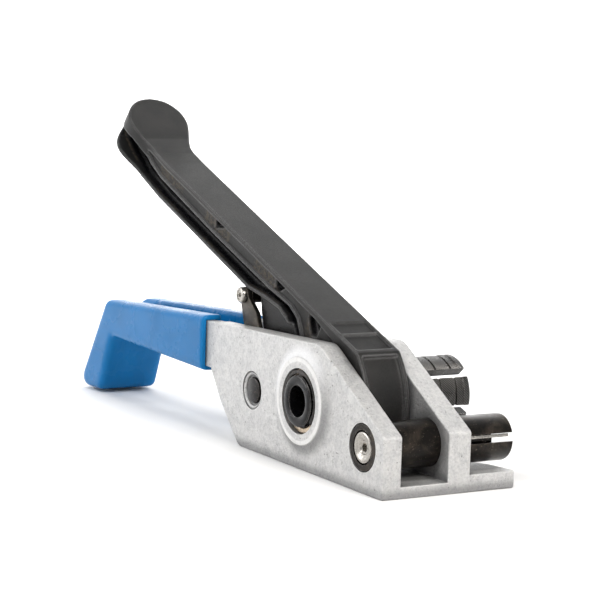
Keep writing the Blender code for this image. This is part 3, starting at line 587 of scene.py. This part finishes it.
def bright_steel(name="bright_steel_look", tint=(0.42, 0.40, 0.37)):
    """Turned, slightly tarnished steel."""
    n = Nodes(name)
    stain = n.remap(n.noise(500.0, 5.0, 0.7), 0.4, 0.7)
    colour = n.mix(n.math("MULTIPLY", stain, 0.5), tint, tuple(c * 0.6 for c in tint))
    rings = n.noise(60.0, 4.0, 0.6, (8.0, 0.2, 8.0))
    relief = n.bump(rings, 0.15, 0.00005, soft_edge=0.0002)
    return n.finish(colour, n.remap(stain, 0.0, 1.0, 0.24, 0.42), relief, metallic=1.0)


CAST = cast_aluminium()
VINYL = blue_vinyl()
BLACK = black_coating()
OXIDE = oxide("oxide_look", (0.013, 0.011, 0.010), (0.050, 0.040, 0.030), 0.6)
DARK_OXIDE = oxide("dark_oxide_look", (0.016, 0.015, 0.015), (0.040, 0.036, 0.033), 0.6, (0.22, 0.36))
BLOOMED_OXIDE = oxide("bloomed_oxide_look", (0.040, 0.036, 0.031), (0.120, 0.102, 0.085), 0.3, (0.34, 0.50))
KNURL = knurled_oxide()
STEEL = bright_steel()
BRONZE = bright_steel("bush_look", (0.55, 0.45, 0.34))


# ---- frame casting ---------------------------------------------------------------------------------------
def grip(name, inset, front_x, edge=0.0):
    """Rails and butt, every face drawn in by inset from the outside, cut off square at front_x."""
    body = flat(name, rounded(grown(GRIP_CORNERS, -inset)), NEAR_RAIL[0] - SKIN + inset,
                FAR_RAIL[1] + SKIN - inset, edge)
    slot_low = NEAR_RAIL[1] + SKIN - inset
    slot_high = FAR_RAIL[0] - SKIN + inset
    slot = [(-184.0 - inset, 70.0), (-190.0 - inset, 30.0), (-193.0 - inset, 20.0), (0.0, 20.0), (0.0, 70.0)]
    middle = (slot_low + slot_high) / 2.0
    rim = 51.0 - inset
    saddle = [(slot_low - 1.5, 70.0), (slot_low - 1.5, rim), (middle - 3.0, rim - SADDLE_DROP),
              (middle + 3.0, rim - SADDLE_DROP), (slot_high + 1.5, rim), (slot_high + 1.5, 70.0)]
    along_x = Matrix(((0, 0, -1, 0), (1, 0, 0, 0), (0, 1, 0, 0), (0, 0, 0, 1)))
    return cut(body, flat("slot", slot, slot_low, slot_high),
               flat("saddle", saddle, -240.0, -182.0 + inset, 0.0, along_x),
               box("front", (front_x, -60.0, 0.0), (40.0, 60.0, 90.0)))


def loft(name, sections):
    shape = bmesh.new()
    rings = [[shape.verts.new(Vector(point) * MM) for point in section] for section in sections]
    shape.faces.new(rings[0])
    shape.faces.new(rings[1][::-1])
    for k in range(4):
        j = (k + 1) % 4
        shape.faces.new((rings[0][k], rings[1][k], rings[1][j], rings[0][j]))
    bmesh.ops.recalc_face_normals(shape, faces=shape.faces)
    mesh = bpy.data.meshes.new(name)
    shape.to_mesh(mesh)
    shape.free()
    return scene_object(name, mesh)


def cheek_outline(rear, inset=0.0):
    front = [(FRONT_X, 0.0, 0.8), (FRONT_X, FRONT_TOP, 2.2), (CROWN[0], CROWN[1], 13.0)]
    return rounded(grown(front + rear, -inset), 8)


def build_casting():
    near_rear = [(-84.0, 53.2, 0.6), (-86.0, 32.2, 0.6), (-84.6, 29.6, 2.0), (-75.0, 17.4, 18.0),
                 (HEEL_X, 0.0, 6.0)]
    far_rear = [(-66.0, 54.0, 6.0), (-66.0, 28.0, 9.0), (-50.0, 0.0, 6.0)]
    near_cheek = cheek_outline(near_rear)
    body = flat("casting", near_cheek, NEAR_OUT, -INNER, CAST_EDGE)
    far_cheek = flat("far_cheek", cheek_outline(far_rear), INNER, FAR_OUT, CAST_EDGE)
    front_floor = box("front_floor", (FLOOR_FRONT_X, -INNER - 2.0, 0.02),
                      (FRONT_X - 0.02, INNER + 2.0, FLOOR_THICK), 0.5)
    rear_floor = box("rear_floor", (-54.0, -INNER - 2.0, 0.02), (FLOOR_REAR_X, INNER + 2.0, FLOOR_THICK), 0.5)
    foot_plan = rounded([(FOOT_BACK_X, FAR_OUT - 2.0, 0.0), (FRONT_X - 0.03, FAR_OUT - 2.0, 0.0),
                         (FRONT_X - 0.03, FOOT_Y, 2.0), (FOOT_BACK_X + 8.0, FOOT_Y - 3.4, 4.0),
                         (FOOT_BACK_X, FOOT_Y - 8.0, 3.0)])
    foot = flat("foot", foot_plan, 0.03, FOOT_THICK, 0.9, Matrix.Scale(-1.0, 4, (0, 0, 1)))
    foot.data = tidied(foot.data)
    boss_side = [(0.0, -INNER - 4.0), (BOSS_BASE_R, -INNER - 4.0), (BOSS_BASE_R, NEAR_OUT + 0.05)]
    flare = BOSS_BASE_R - BOSS_TOP_R - 0.7
    flare_rise = BOSS_RISE - 0.30
    boss_side += [(BOSS_BASE_R - flare * t, NEAR_OUT + 0.05 - flare_rise * t ** 4.0)
                  for t in (0.25, 0.45, 0.6, 0.72, 0.82, 0.9, 0.96, 1.0)]
    boss_side += [(BOSS_TOP_R + 0.6, NEAR_OUT - BOSS_RISE + 0.12), (BOSS_TOP_R - 0.2, NEAR_OUT - BOSS_RISE),
                  (BUSH_R + 1.0, NEAR_OUT - BOSS_RISE + 0.1), (0.0, NEAR_OUT - BOSS_RISE + 0.1)]
    boss = turned("boss", boss_side, AXLE, 96, ring=False)
    keep_common(boss, flat("boss_limit", cheek_outline(near_rear, 0.3), NEAR_OUT - 5.0, -INNER - 2.0))
    jog = loft("rail_jog", [
        [(-64.4, INNER + 0.1, 31.0), (-64.4, FAR_OUT - 1.0, 31.0),
         (-64.4, FAR_OUT - 1.0, 53.2), (-64.4, INNER + 0.1, 53.2)],
        [(-86.0, 2.0, 32.6), (-86.0, 7.8, 32.6), (-86.0, 7.8, 52.9), (-86.0, 2.0, 52.9)]])
    core = cut(grip("core", SKIN, RAIL_ROOT_X), box("far_stub", (-84.0, -5.0, 20.0), (-60.0, 15.0, 60.0)))
    join(body, far_cheek, front_floor, rear_floor, foot, boss, jog, core)
    seat = turned("pin_seat", [(0.0, NEAR_OUT + 1.6), (6.9, NEAR_OUT + 1.6), (7.0, NEAR_OUT + 0.9),
                               (7.9, NEAR_OUT + 0.3), (8.1, NEAR_OUT + 0.8), (8.7, NEAR_OUT + 0.8),
                               (8.8, NEAR_OUT - 1.0), (0.0, NEAR_OUT - 1.0)], HOLD_PIVOT, 60, ring=False)
    cut(body,
        rod("axle_bore", BUSH_R + GAP, NEAR_OUT - 5.0, FAR_OUT + 1.0, AXLE, 84),
        rod("shaft_bore", SHAFT_R + 0.15, NEAR_OUT - 1.0, FAR_OUT + 1.0, SHAFT, 64),
        rod("pin_bore", HOLD_PIN_R + GAP, NEAR_OUT - 1.0, INNER + 7.0, HOLD_PIVOT),
        seat)
    return flat_weighted(body)


show(build_casting(), CAST, "frame", "cast_aluminium", "frame_casting")


def build_sleeve():
    """Dipped sleeve: thick soft corners everywhere, hollow around the casting."""
    outer = softened(grip("sleeve", 0.0, SLEEVE_FRONT_X, 3.0), 0.7, 18)
    return shade(cut(outer, grip("hollow", SKIN - GAP, SLEEVE_FRONT_X + 5.0)), 50.0)


show(build_sleeve(), VINYL, "frame", "blue_vinyl", "grip_sleeve")


# ---- lever -----------------------------------------------------------------------------------------------
tilt = math.radians(LEVER_TILT_DEG)
ALONG = Vector((-math.cos(tilt), math.sin(tilt)))
UP = Vector((math.sin(tilt), math.cos(tilt)))


def on_arm(s, h):
    point = Vector(LEVER_FOOT) + ALONG * s + UP * h
    return point.x, point.y


def on_arms(*pairs):
    return [on_arm(s, h) for s, h in pairs]


def smoothstep(t):
    t = min(max(t, 0.0), 1.0)
    return t * t * (3.0 - 2.0 * t)


def plan_outline(inset=0.0):
    half = [(s, LEVER_HALF - inset + (KNOB_HALF - LEVER_HALF) * smoothstep((s - NECK_S) / (KNOB_S - NECK_S)))
            for s in (-70.0, *range(int(NECK_S), int(KNOB_S), 2))]
    reach = KNOB_HALF / math.cos(math.radians(FACE_TILT_DEG))
    half += [(KNOB_S + reach * math.sin(math.radians(a)), (KNOB_HALF - inset) * math.cos(math.radians(a)))
             for a in range(0, 90, 6)]
    return half + [(KNOB_S + reach, 0.0)] + [(s, -w) for s, w in reversed(half)]


DOWN = ALONG * math.tan(math.radians(FACE_TILT_DEG)) - UP        # square to the knob's tilted disc
ARM_AXES = Matrix(((ALONG.x, 0, DOWN.x, LEVER_FOOT[0] * MM), (0, 1, 0, 0),
                   (ALONG.y, 0, DOWN.y, LEVER_FOOT[1] * MM), (0, 0, 0, 1)))


def build_lever():
    face_slope = math.tan(math.radians(FACE_TILT_DEG))
    tip_s = ARM_TIP_S - KNOB_EDGE

    def face_height(s):
        """Height of the knob's tilted upper face, at a distance along the arm."""
        return FACE_START[1] + (s - FACE_START[0]) * face_slope

    face = [(150.0, 0.0), (180.0, 0.0), (192.0, 0.4), (198.0, 1.2), FACE_START, (214.0, face_height(214.0)),
            (226.0, face_height(226.0))]
    tip = arc((tip_s, face_height(tip_s) - KNOB_EDGE), KNOB_EDGE, 101.5, 0.0, 8)
    under = [(ARM_TIP_S, -4.0), (ARM_TIP_S - 2.5, -8.0), (222.0, -12.4), (203.0, -17.6), (180.0, -19.0),
             (80.0, -18.6), (62.0, -15.4), (50.0, -13.8), (44.0, -15.0)]
    outline = (arc(AXLE, HUB_R, -10.0, 42.0, 26) + on_arms((-12.0, 0.0), *face, *tip, *under)
               + arc(AXLE, HUB_PLATE_R, 130.0, 350.0, 60))
    body = flat("lever", outline, -KNOB_HALF - 1.0, KNOB_HALF + 1.0)
    gusset = on_arms((74.0, -14.0), (50.0, -9.0), (20.0, -9.0)) + [polar(24.0, 130.0), polar(24.0, 165.0)]
    gusset += [(-38.0, 43.4), (-54.0, 46.0), (-58.5, 52.0), (-61.0, 60.0)]
    join(body, flat("gussets", gusset, -8.0, 8.0))
    keep_common(body, flat("plan", plan_outline(), -70.0, 70.0, 0.0, ARM_AXES))
    # the side shows, from the top: flange edge, shallow web, rounded ridge, deep channel, thin lower rim
    web = on_arms((203.0, -1.6), (194.0, -5.2), (182.0, -7.2), (120.0, -8.2), (60.0, -7.6), (40.0, -6.4),
                  (32.0, -8.6), (27.0, -13.0), (22.0, -20.0), (14.0, -16.0), (-2.0, -11.0), (2.0, -5.0),
                  (20.0, -3.2), (60.0, -2.6), (180.0, -2.8), (192.0, -2.2))
    channel = on_arms((212.0, -0.6), (226.0, 1.6), (231.0, 0.4), (233.0, -3.0), (231.0, -7.0), (222.0, -10.2),
                      (203.0, -15.6), (180.0, -17.2), (80.0, -16.8), (63.0, -13.6), (50.0, -12.0),
                      (42.0, -13.4), (36.0, -18.0), (30.0, -26.0), (24.0, -24.0), (29.0, -14.6),
                      (34.0, -10.2), (42.0, -8.4),
                      (60.0, -9.6), (120.0, -10.2), (182.0, -9.2), (196.0, -7.2), (206.0, -3.6))
    pockets = [on_arms((112.0, -3.2), (122.5, -3.2), (121.5, -7.6)),
               on_arms((49.5, -3.0), (59.0, -3.0), (58.0, -7.2), (54.0, -7.2)),
               on_arms((15.5, -4.0), (27.0, -4.4), (25.0, -8.0), (21.0, -12.0), (17.0, -10.5))]
    for side in (-1.0, 1.0):
        for name, shape, depth in (("web", web, WEB_FLOOR), ("channel", channel, CHANNEL_FLOOR)):
            low, high = sorted((side * depth, side * 30.0))
            cut(body, flat(name, shape, low, high))
        for shape in pockets:
            low, high = sorted((side * 6.0, side * 30.0))
            cut(body, flat("pocket", shape, low, high))
    # stepped panels on the upper face above the hub, between the two side rims
    rim = 8.8
    panels = [on_arms((0.6, -1.0), (10.4, -0.9), (10.4, 3.0), (0.6, 3.0)),
              on_arms((-14.0, -1.5), (-0.6, -1.0), (-0.6, 3.0), (-14.0, 3.0)),
              arc(AXLE, HUB_R - 1.4, -14.0, 39.0, 24) + arc(AXLE, HUB_R + 4.0, 39.0, -14.0, 24)]
    for shape in panels:
        cut(body, flat("panel", shape, -rim, rim))
    wheel_room = (on_arms((60.0, -12.0), (40.0, -6.0), (6.0, -6.5))
                  + arc(AXLE, WHEEL_TIP_R + 2.0, 70.0, -118.0, 40)
                  + [polar(60.0, 242.0), polar(60.0, 195.0), polar(60.0, 150.0)])
    cut(body, flat("wheel_room", wheel_room, -5.5, 5.5),
        rod("lever_bore", AXLE_R + GAP, -30.0, 30.0, AXLE, 60),
        rod("drive_pin_bore", DRIVE_PIN_R + GAP, -7.0, 7.0, DRIVE_PIVOT, 40))
    body = softened(body, 0.45, 5, 0.5)
    return shade(body, 60.0)


show(build_lever(), BLACK, "lever_set", "black_coating", "lever")


# ---- windlass --------------------------------------------------------------------------------------------
def build_windlass():
    half = 0.6
    side = [(DRUM_R - 1.0, DRUM_END_Y), (DRUM_R - 0.3, DRUM_END_Y - 0.3), (DRUM_R, DRUM_END_Y - 1.0),
            (DRUM_R, DRUM_END_Y - 3.2), (DRUM_R - 0.25, DRUM_END_Y - 3.4)]
    for y in sorted(DRUM_GROOVES_Y, reverse=True):
        side += [(DRUM_R - 0.25, y + half), (DRUM_R - 0.85, y + half - 0.2), (DRUM_R - 0.85, y - half + 0.2),
                 (DRUM_R - 0.25, y - half)]
    side += [(DRUM_R - 0.25, DRUM_START_Y + 0.4), (DRUM_R - 0.6, DRUM_START_Y), (AXLE_R, DRUM_START_Y),
             (AXLE_R, CLIP_Y[1] + GAP), (AXLE_R - 1.0, CLIP_Y[1] + GAP), (AXLE_R - 1.0, CLIP_Y[0] - GAP),
             (AXLE_R, CLIP_Y[0] - GAP), (AXLE_R, AXLE_END_Y + 1.0), (AXLE_R - 0.4, AXLE_END_Y + 0.3),
             (AXLE_R - 1.2, AXLE_END_Y), (AXLE_BORE_R + 1.2, AXLE_END_Y),
             (AXLE_BORE_R + 0.3, AXLE_END_Y + 0.4),
             (AXLE_BORE_R, AXLE_END_Y + 1.2), (AXLE_BORE_R, DRUM_START_Y), (DRUM_BORE_R, DRUM_START_Y + 3.0),
             (DRUM_BORE_R, DRUM_END_Y - 0.5), (DRUM_BORE_R + 0.5, DRUM_END_Y)]
    body = turned("windlass", side, AXLE, 120)
    for degrees in DRUM_SLOTS_DEG:
        slot = box("slot", (-20.0, DRUM_START_Y + 4.0, -DRUM_SLOT / 2.0), (20.0, 70.0, DRUM_SLOT / 2.0))
        slot.data.transform(Matrix.Translation((0.0, 0.0, AXLE[1] * MM))
                            @ Matrix.Rotation(-math.radians(degrees), 4, "Y"))
        cut(body, slot)
    cut(body, box("key_seat", (-1.6, -5.0, AXLE[1] + AXLE_R - 1.8), (1.6, 5.0, AXLE[1] + AXLE_R + 2.0)))
    return shade(body, 28.0)


show(build_windlass(), KNURL, "windlass_set", "oxide_steel", "windlass")


def build_clip():
    start, end, lug_half = -40.0, 207.0, 8.0
    middles = (end - lug_half, (start + end) / 2.0, start + lug_half)
    outline = arc(AXLE, CLIP_R, start, end, 60)
    for k, middle in enumerate(middles):
        outline += arc(AXLE, AXLE_R - 0.7, middle + lug_half, middle - lug_half, 6)
        if k < 2:
            outline += arc(AXLE, AXLE_R + 0.7, middle - lug_half, middles[k + 1] + lug_half, 24)
    return shade(flat("clip", outline, CLIP_Y[0], CLIP_Y[1], 0.15), 40.0)


show(build_clip(), DARK_OXIDE, "windlass_set", "oxide_steel", "axle_clip")


def build_near_bush():
    high, low = -INNER - GAP, NEAR_OUT - 0.4
    side = [(BUSH_R, high), (BUSH_R, low + 0.4), (BUSH_R - 0.4, low), (AXLE_R + GAP + 0.4, low),
            (AXLE_R + GAP, low + 0.4), (AXLE_R + GAP, high)]
    return shade(turned("bush", side, AXLE, 96))


show(build_near_bush(), BRONZE, "frame", "bronze_bush", "near_bush")


# ---- holding pawl, its pin and the release bolt ----------------------------------------------------------
def build_holding_pawl():
    clear = 0.35
    away = math.degrees(clear / WHEEL_ROOT_R)
    contact = HOLD_CONTACT_DEG
    nose = [polar(WHEEL_TIP_R + 0.8, contact + 12.0), polar(WHEEL_ROOT_R + 1.1 + clear, contact + 6.5),
            polar(WHEEL_ROOT_R + clear, contact + away + 1.0),
            polar(WHEEL_TIP_R + clear, contact - FACE_LEAN_DEG + away),
            polar(WHEEL_TIP_R + 3.0, contact - 2.0 * FACE_LEAN_DEG + away)]
    body = flat("pawl", nose + [(-30.0, 43.0)] + arc(HOLD_PIVOT, 8.0, 85.0, 270.0, 20) + [(-33.0, 24.0)],
                -4.6, -0.4, 0.2)
    barrel = [(0.0, 11.0), (9.0, 11.0), (9.0, 7.4), (7.4, 7.4), (7.4, 1.2), (9.0, 1.2), (9.0, -11.0),
              (0.0, -11.0)]
    join(body, turned("barrel", barrel, HOLD_PIVOT, 64, ring=False))
    bolt_end = arc(BOLT_AT, ROLLER_R, 30.0, 215.0, 16)
    front = [(-36.5, 30.0), (-52.0, 46.0), (-58.0, 54.0), (-60.5, 60.0), (-68.0, 66.0)]
    near = front + bolt_end + [(-72.0, 54.0), (-66.0, 42.0), (-53.5, 26.0)]
    far = front + bolt_end + [(-69.0, 61.0), (-60.0, 54.0), (-55.5, 42.0), (-53.5, 26.0)]
    for outline, side in ((near, -1.0), (far, 1.0)):
        low, high = sorted((side * ARM_PLATE[0], side * ARM_PLATE[1]))
        join(body, flat("plate", outline, low, high, 0.35))
    cut(body, rod("bore", HOLD_PIN_R + GAP, -20.0, 20.0, HOLD_PIVOT),
        rod("bolt_bore", BOLT_R + GAP, -20.0, 20.0, BOLT_AT))
    return shade(body)


show(build_holding_pawl(), BLOOMED_OXIDE, "holding_pawl_set", "oxide_steel", "holding_pawl")


def build_holding_pin():
    side = [(0.0, INNER + 6.0), (HOLD_PIN_R - 0.5, INNER + 6.0), (HOLD_PIN_R, INNER + 5.5),
            (HOLD_PIN_R, NEAR_OUT + 1.1), (HOLD_PIN_R - 0.2, NEAR_OUT + 0.6),
            (HOLD_PIN_R - 0.7, NEAR_OUT + 0.4), (0.0, NEAR_OUT + 0.35)]
    return shade(turned("pin", side, HOLD_PIVOT, 64, ring=False))


show(build_holding_pin(), DARK_OXIDE, "frame", "oxide_steel", "holding_pawl_pin")


def build_bolt():
    """Low round head with a ring step and a hexagon socket."""
    head = -ARM_PLATE[1] - GAP
    side = [(0.0, 12.0), (BOLT_R, 12.0), (BOLT_R, head), (BOLT_HEAD_R, head), (BOLT_HEAD_R, -12.6),
            (BOLT_HEAD_R - 0.3, -13.1), (BOLT_HEAD_R - 0.8, -13.3), (2.3, -13.3), (2.1, -12.9), (0.0, -12.9)]
    body = turned("bolt", side, BOLT_AT, 64, ring=False)
    return shade(cut(body, rod("socket", 1.2, -20.0, -12.0, BOLT_AT, 6)))


show(build_bolt(), STEEL, "holding_pawl_set", "bright_steel", "release_bolt")


# ---- slotted front shaft, blade and end screw ------------------------------------------------------------
def tilted_box(name, low, high, degrees=SHAFT_SLOT_DEG, edge=0.0):
    made = box(name, low, high, edge)
    made.data.transform(Matrix.Translation((SHAFT[0] * MM, 0.0, SHAFT[1] * MM))
                        @ Matrix.Rotation(-math.radians(degrees), 4, "Y"))
    return made


def build_front_shaft():
    side = [(SHAFT_R - 0.8, SHAFT_END_Y), (SHAFT_R - 0.2, SHAFT_END_Y - 0.2), (SHAFT_R, SHAFT_END_Y - 0.8),
            (SHAFT_R, NEAR_OUT + 0.6), (SHAFT_R - 0.5, NEAR_OUT), (SCREW_SEAT_R, NEAR_OUT),
            (SCREW_SEAT_R, SCREW_SEAT_Y), (SHAFT_BORE_R, SCREW_SEAT_Y), (SHAFT_BORE_R, SHAFT_END_Y)]
    body = turned("shaft", side, SHAFT, 96)
    half = SHAFT_SLOT / 2.0
    cut(body, tilted_box("slot", (-12.0, SLOT_START_Y, -half), (12.0, 60.0, half)))
    return shade(body)


show(build_front_shaft(), OXIDE, "frame", "oxide_steel", "front_shaft")
blade = tilted_box("blade", (SHAFT_BORE_R + 0.3, SLOT_START_Y + 0.5, SHAFT_SLOT / 2.0 - 1.6),
                   (SHAFT_R - 0.5, SHAFT_END_Y - 2.2, SHAFT_SLOT / 2.0 - GAP), edge=0.15)
show(shade(blade), STEEL, "frame", "bright_steel", "cutter_blade")


def build_end_screw():
    """Turned head with a domed face and a hexagon socket."""
    side = [(0.0, NEAR_OUT + 12.0), (2.3, NEAR_OUT + 12.0), (2.3, SCREW_SEAT_Y - 0.4),
            (6.7, SCREW_SEAT_Y - 0.4), (6.7, NEAR_OUT + 0.7), (6.4, NEAR_OUT + 0.15),
            (5.8, NEAR_OUT - 0.1), (5.0, NEAR_OUT),
            (3.6, NEAR_OUT + 0.7), (3.1, NEAR_OUT + 0.75), (2.7, NEAR_OUT + 1.2), (0.0, NEAR_OUT + 1.2)]
    body = turned("end_screw", side, SHAFT, 96, ring=False)
    return shade(cut(body, rod("socket", 2.1, NEAR_OUT - 5.0, NEAR_OUT + 3.4, SHAFT, 6)))


show(build_end_screw(), STEEL, "cutter_set", "bright_steel", "cutter_screw")

# ---- carried-over nodes ----------------------------------------------------------------------------------
CARRIED = {
    BRONZE: ("far_bush",),
    STEEL: ("thrust_washer", "wheel_key", "drive_pawl_pin", "drive_pawl_spring", "holding_pawl_spring",
            "release_nut"),
    OXIDE: ("ratchet_wheel", "drive_pawl", "release_roller"),
    DARK_OXIDE: ("cutter_core",),
}
for coating, names in CARRIED.items():
    for name in names:
        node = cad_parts[name]
        node.data.materials.clear()
        node.data.materials.append(coating)
        shade(node)


# ---- stage, lights, camera -------------------------------------------------------------------------------
def build_stage():
    """Pale floor that curves up into a wall all round."""
    flat_r, curve_r, top = 2.2, 1.2, 3.0
    profile = [(0.0, 0.0), (flat_r, 0.0)]
    profile += [(flat_r + curve_r * math.sin(math.radians(a)), curve_r * (1.0 - math.cos(math.radians(a))))
                for a in range(9, 91, 9)] + [(flat_r + curve_r, top)]
    mesh = bpy.data.meshes.new("stage")
    mesh.from_pydata([(r, 0.0, z) for r, z in profile], [(k, k + 1) for k in range(len(profile) - 1)], [])
    floor = scene_object("stage", mesh)
    step = floor.modifiers.new("turn", "SCREW")
    step.axis = "Z"
    step.steps = 64
    step.render_steps = 64
    step.use_merge_vertices = True
    n = Nodes("stage_paper")
    drift = n.remap(n.noise(2.0, 2.0), 0.3, 0.7)
    n.finish(n.mix(drift, (0.80, 0.80, 0.80), (0.82, 0.82, 0.82)), 0.8)
    floor.data.materials.append(n.material)
    floor.data.shade_smooth()


def area_light(name, place, aim, size, power, tint=(1.0, 1.0, 1.0)):
    light = bpy.data.lights.new(name, "AREA")
    light.shape = "RECTANGLE"
    light.size, light.size_y = size
    light.energy = power
    light.color = tint
    obj = bpy.data.objects.new(name, light)
    bpy.context.scene.collection.objects.link(obj)
    obj.location = place
    obj.rotation_euler = (Vector(aim) - Vector(place)).to_track_quat("-Z", "Y").to_euler()


build_stage()
MIDDLE = (-0.11, 0.0, 0.06)
area_light("key", (0.25, -0.95, 1.30), MIDDLE, (0.45, 0.45), 11.0)
area_light("side", (-0.95, -1.05, 0.30), MIDDLE, (0.5, 0.5), 3.2)
area_light("front", (1.00, 0.10, 1.00), MIDDLE, (0.45, 0.45), 17.0, (1.0, 0.965, 0.92))
area_light("backdrop", (-0.8, 0.5, 1.6), (-2.9, 1.75, 0.1), (2.0, 1.6), 130.0)

world = bpy.data.worlds.new("studio")
bpy.context.scene.world = world
world.use_nodes = True
sky = world.node_tree.nodes["Background"]
sky.inputs["Color"].default_value = (1.0, 1.0, 1.0, 1.0)
sky.inputs["Strength"].default_value = 0.30
bpy.context.scene.view_settings.view_transform = "Standard"

# the camera stands low at the tool's front near corner and is rolled by under two degrees
AZIMUTH, DROP, ROLL = 1.04261, 0.11906, 0.03163
forward = Vector((-math.sin(AZIMUTH) * math.cos(DROP), math.cos(AZIMUTH) * math.cos(DROP), -math.sin(DROP)))
level_right = forward.cross(Vector((0.0, 0.0, 1.0))).normalized()
level_up = level_right.cross(forward)
right = math.cos(ROLL) * level_right + math.sin(ROLL) * level_up
up = -math.sin(ROLL) * level_right + math.cos(ROLL) * level_up
camera = bpy.data.cameras.new("camera")
camera.lens = 114.0
camera.sensor_width = 36.0
camera_object = bpy.data.objects.new("camera", camera)
bpy.context.scene.collection.objects.link(camera_object)
stand_point = Vector((0.6421, -0.4265, 0.1693))
camera_object.matrix_world = Matrix(((right.x, up.x, -forward.x, stand_point.x),
                                     (right.y, up.y, -forward.y, stand_point.y),
                                     (right.z, up.z, -forward.z, stand_point.z), (0.0, 0.0, 0.0, 1.0)))
bpy.context.scene.camera = camera_object
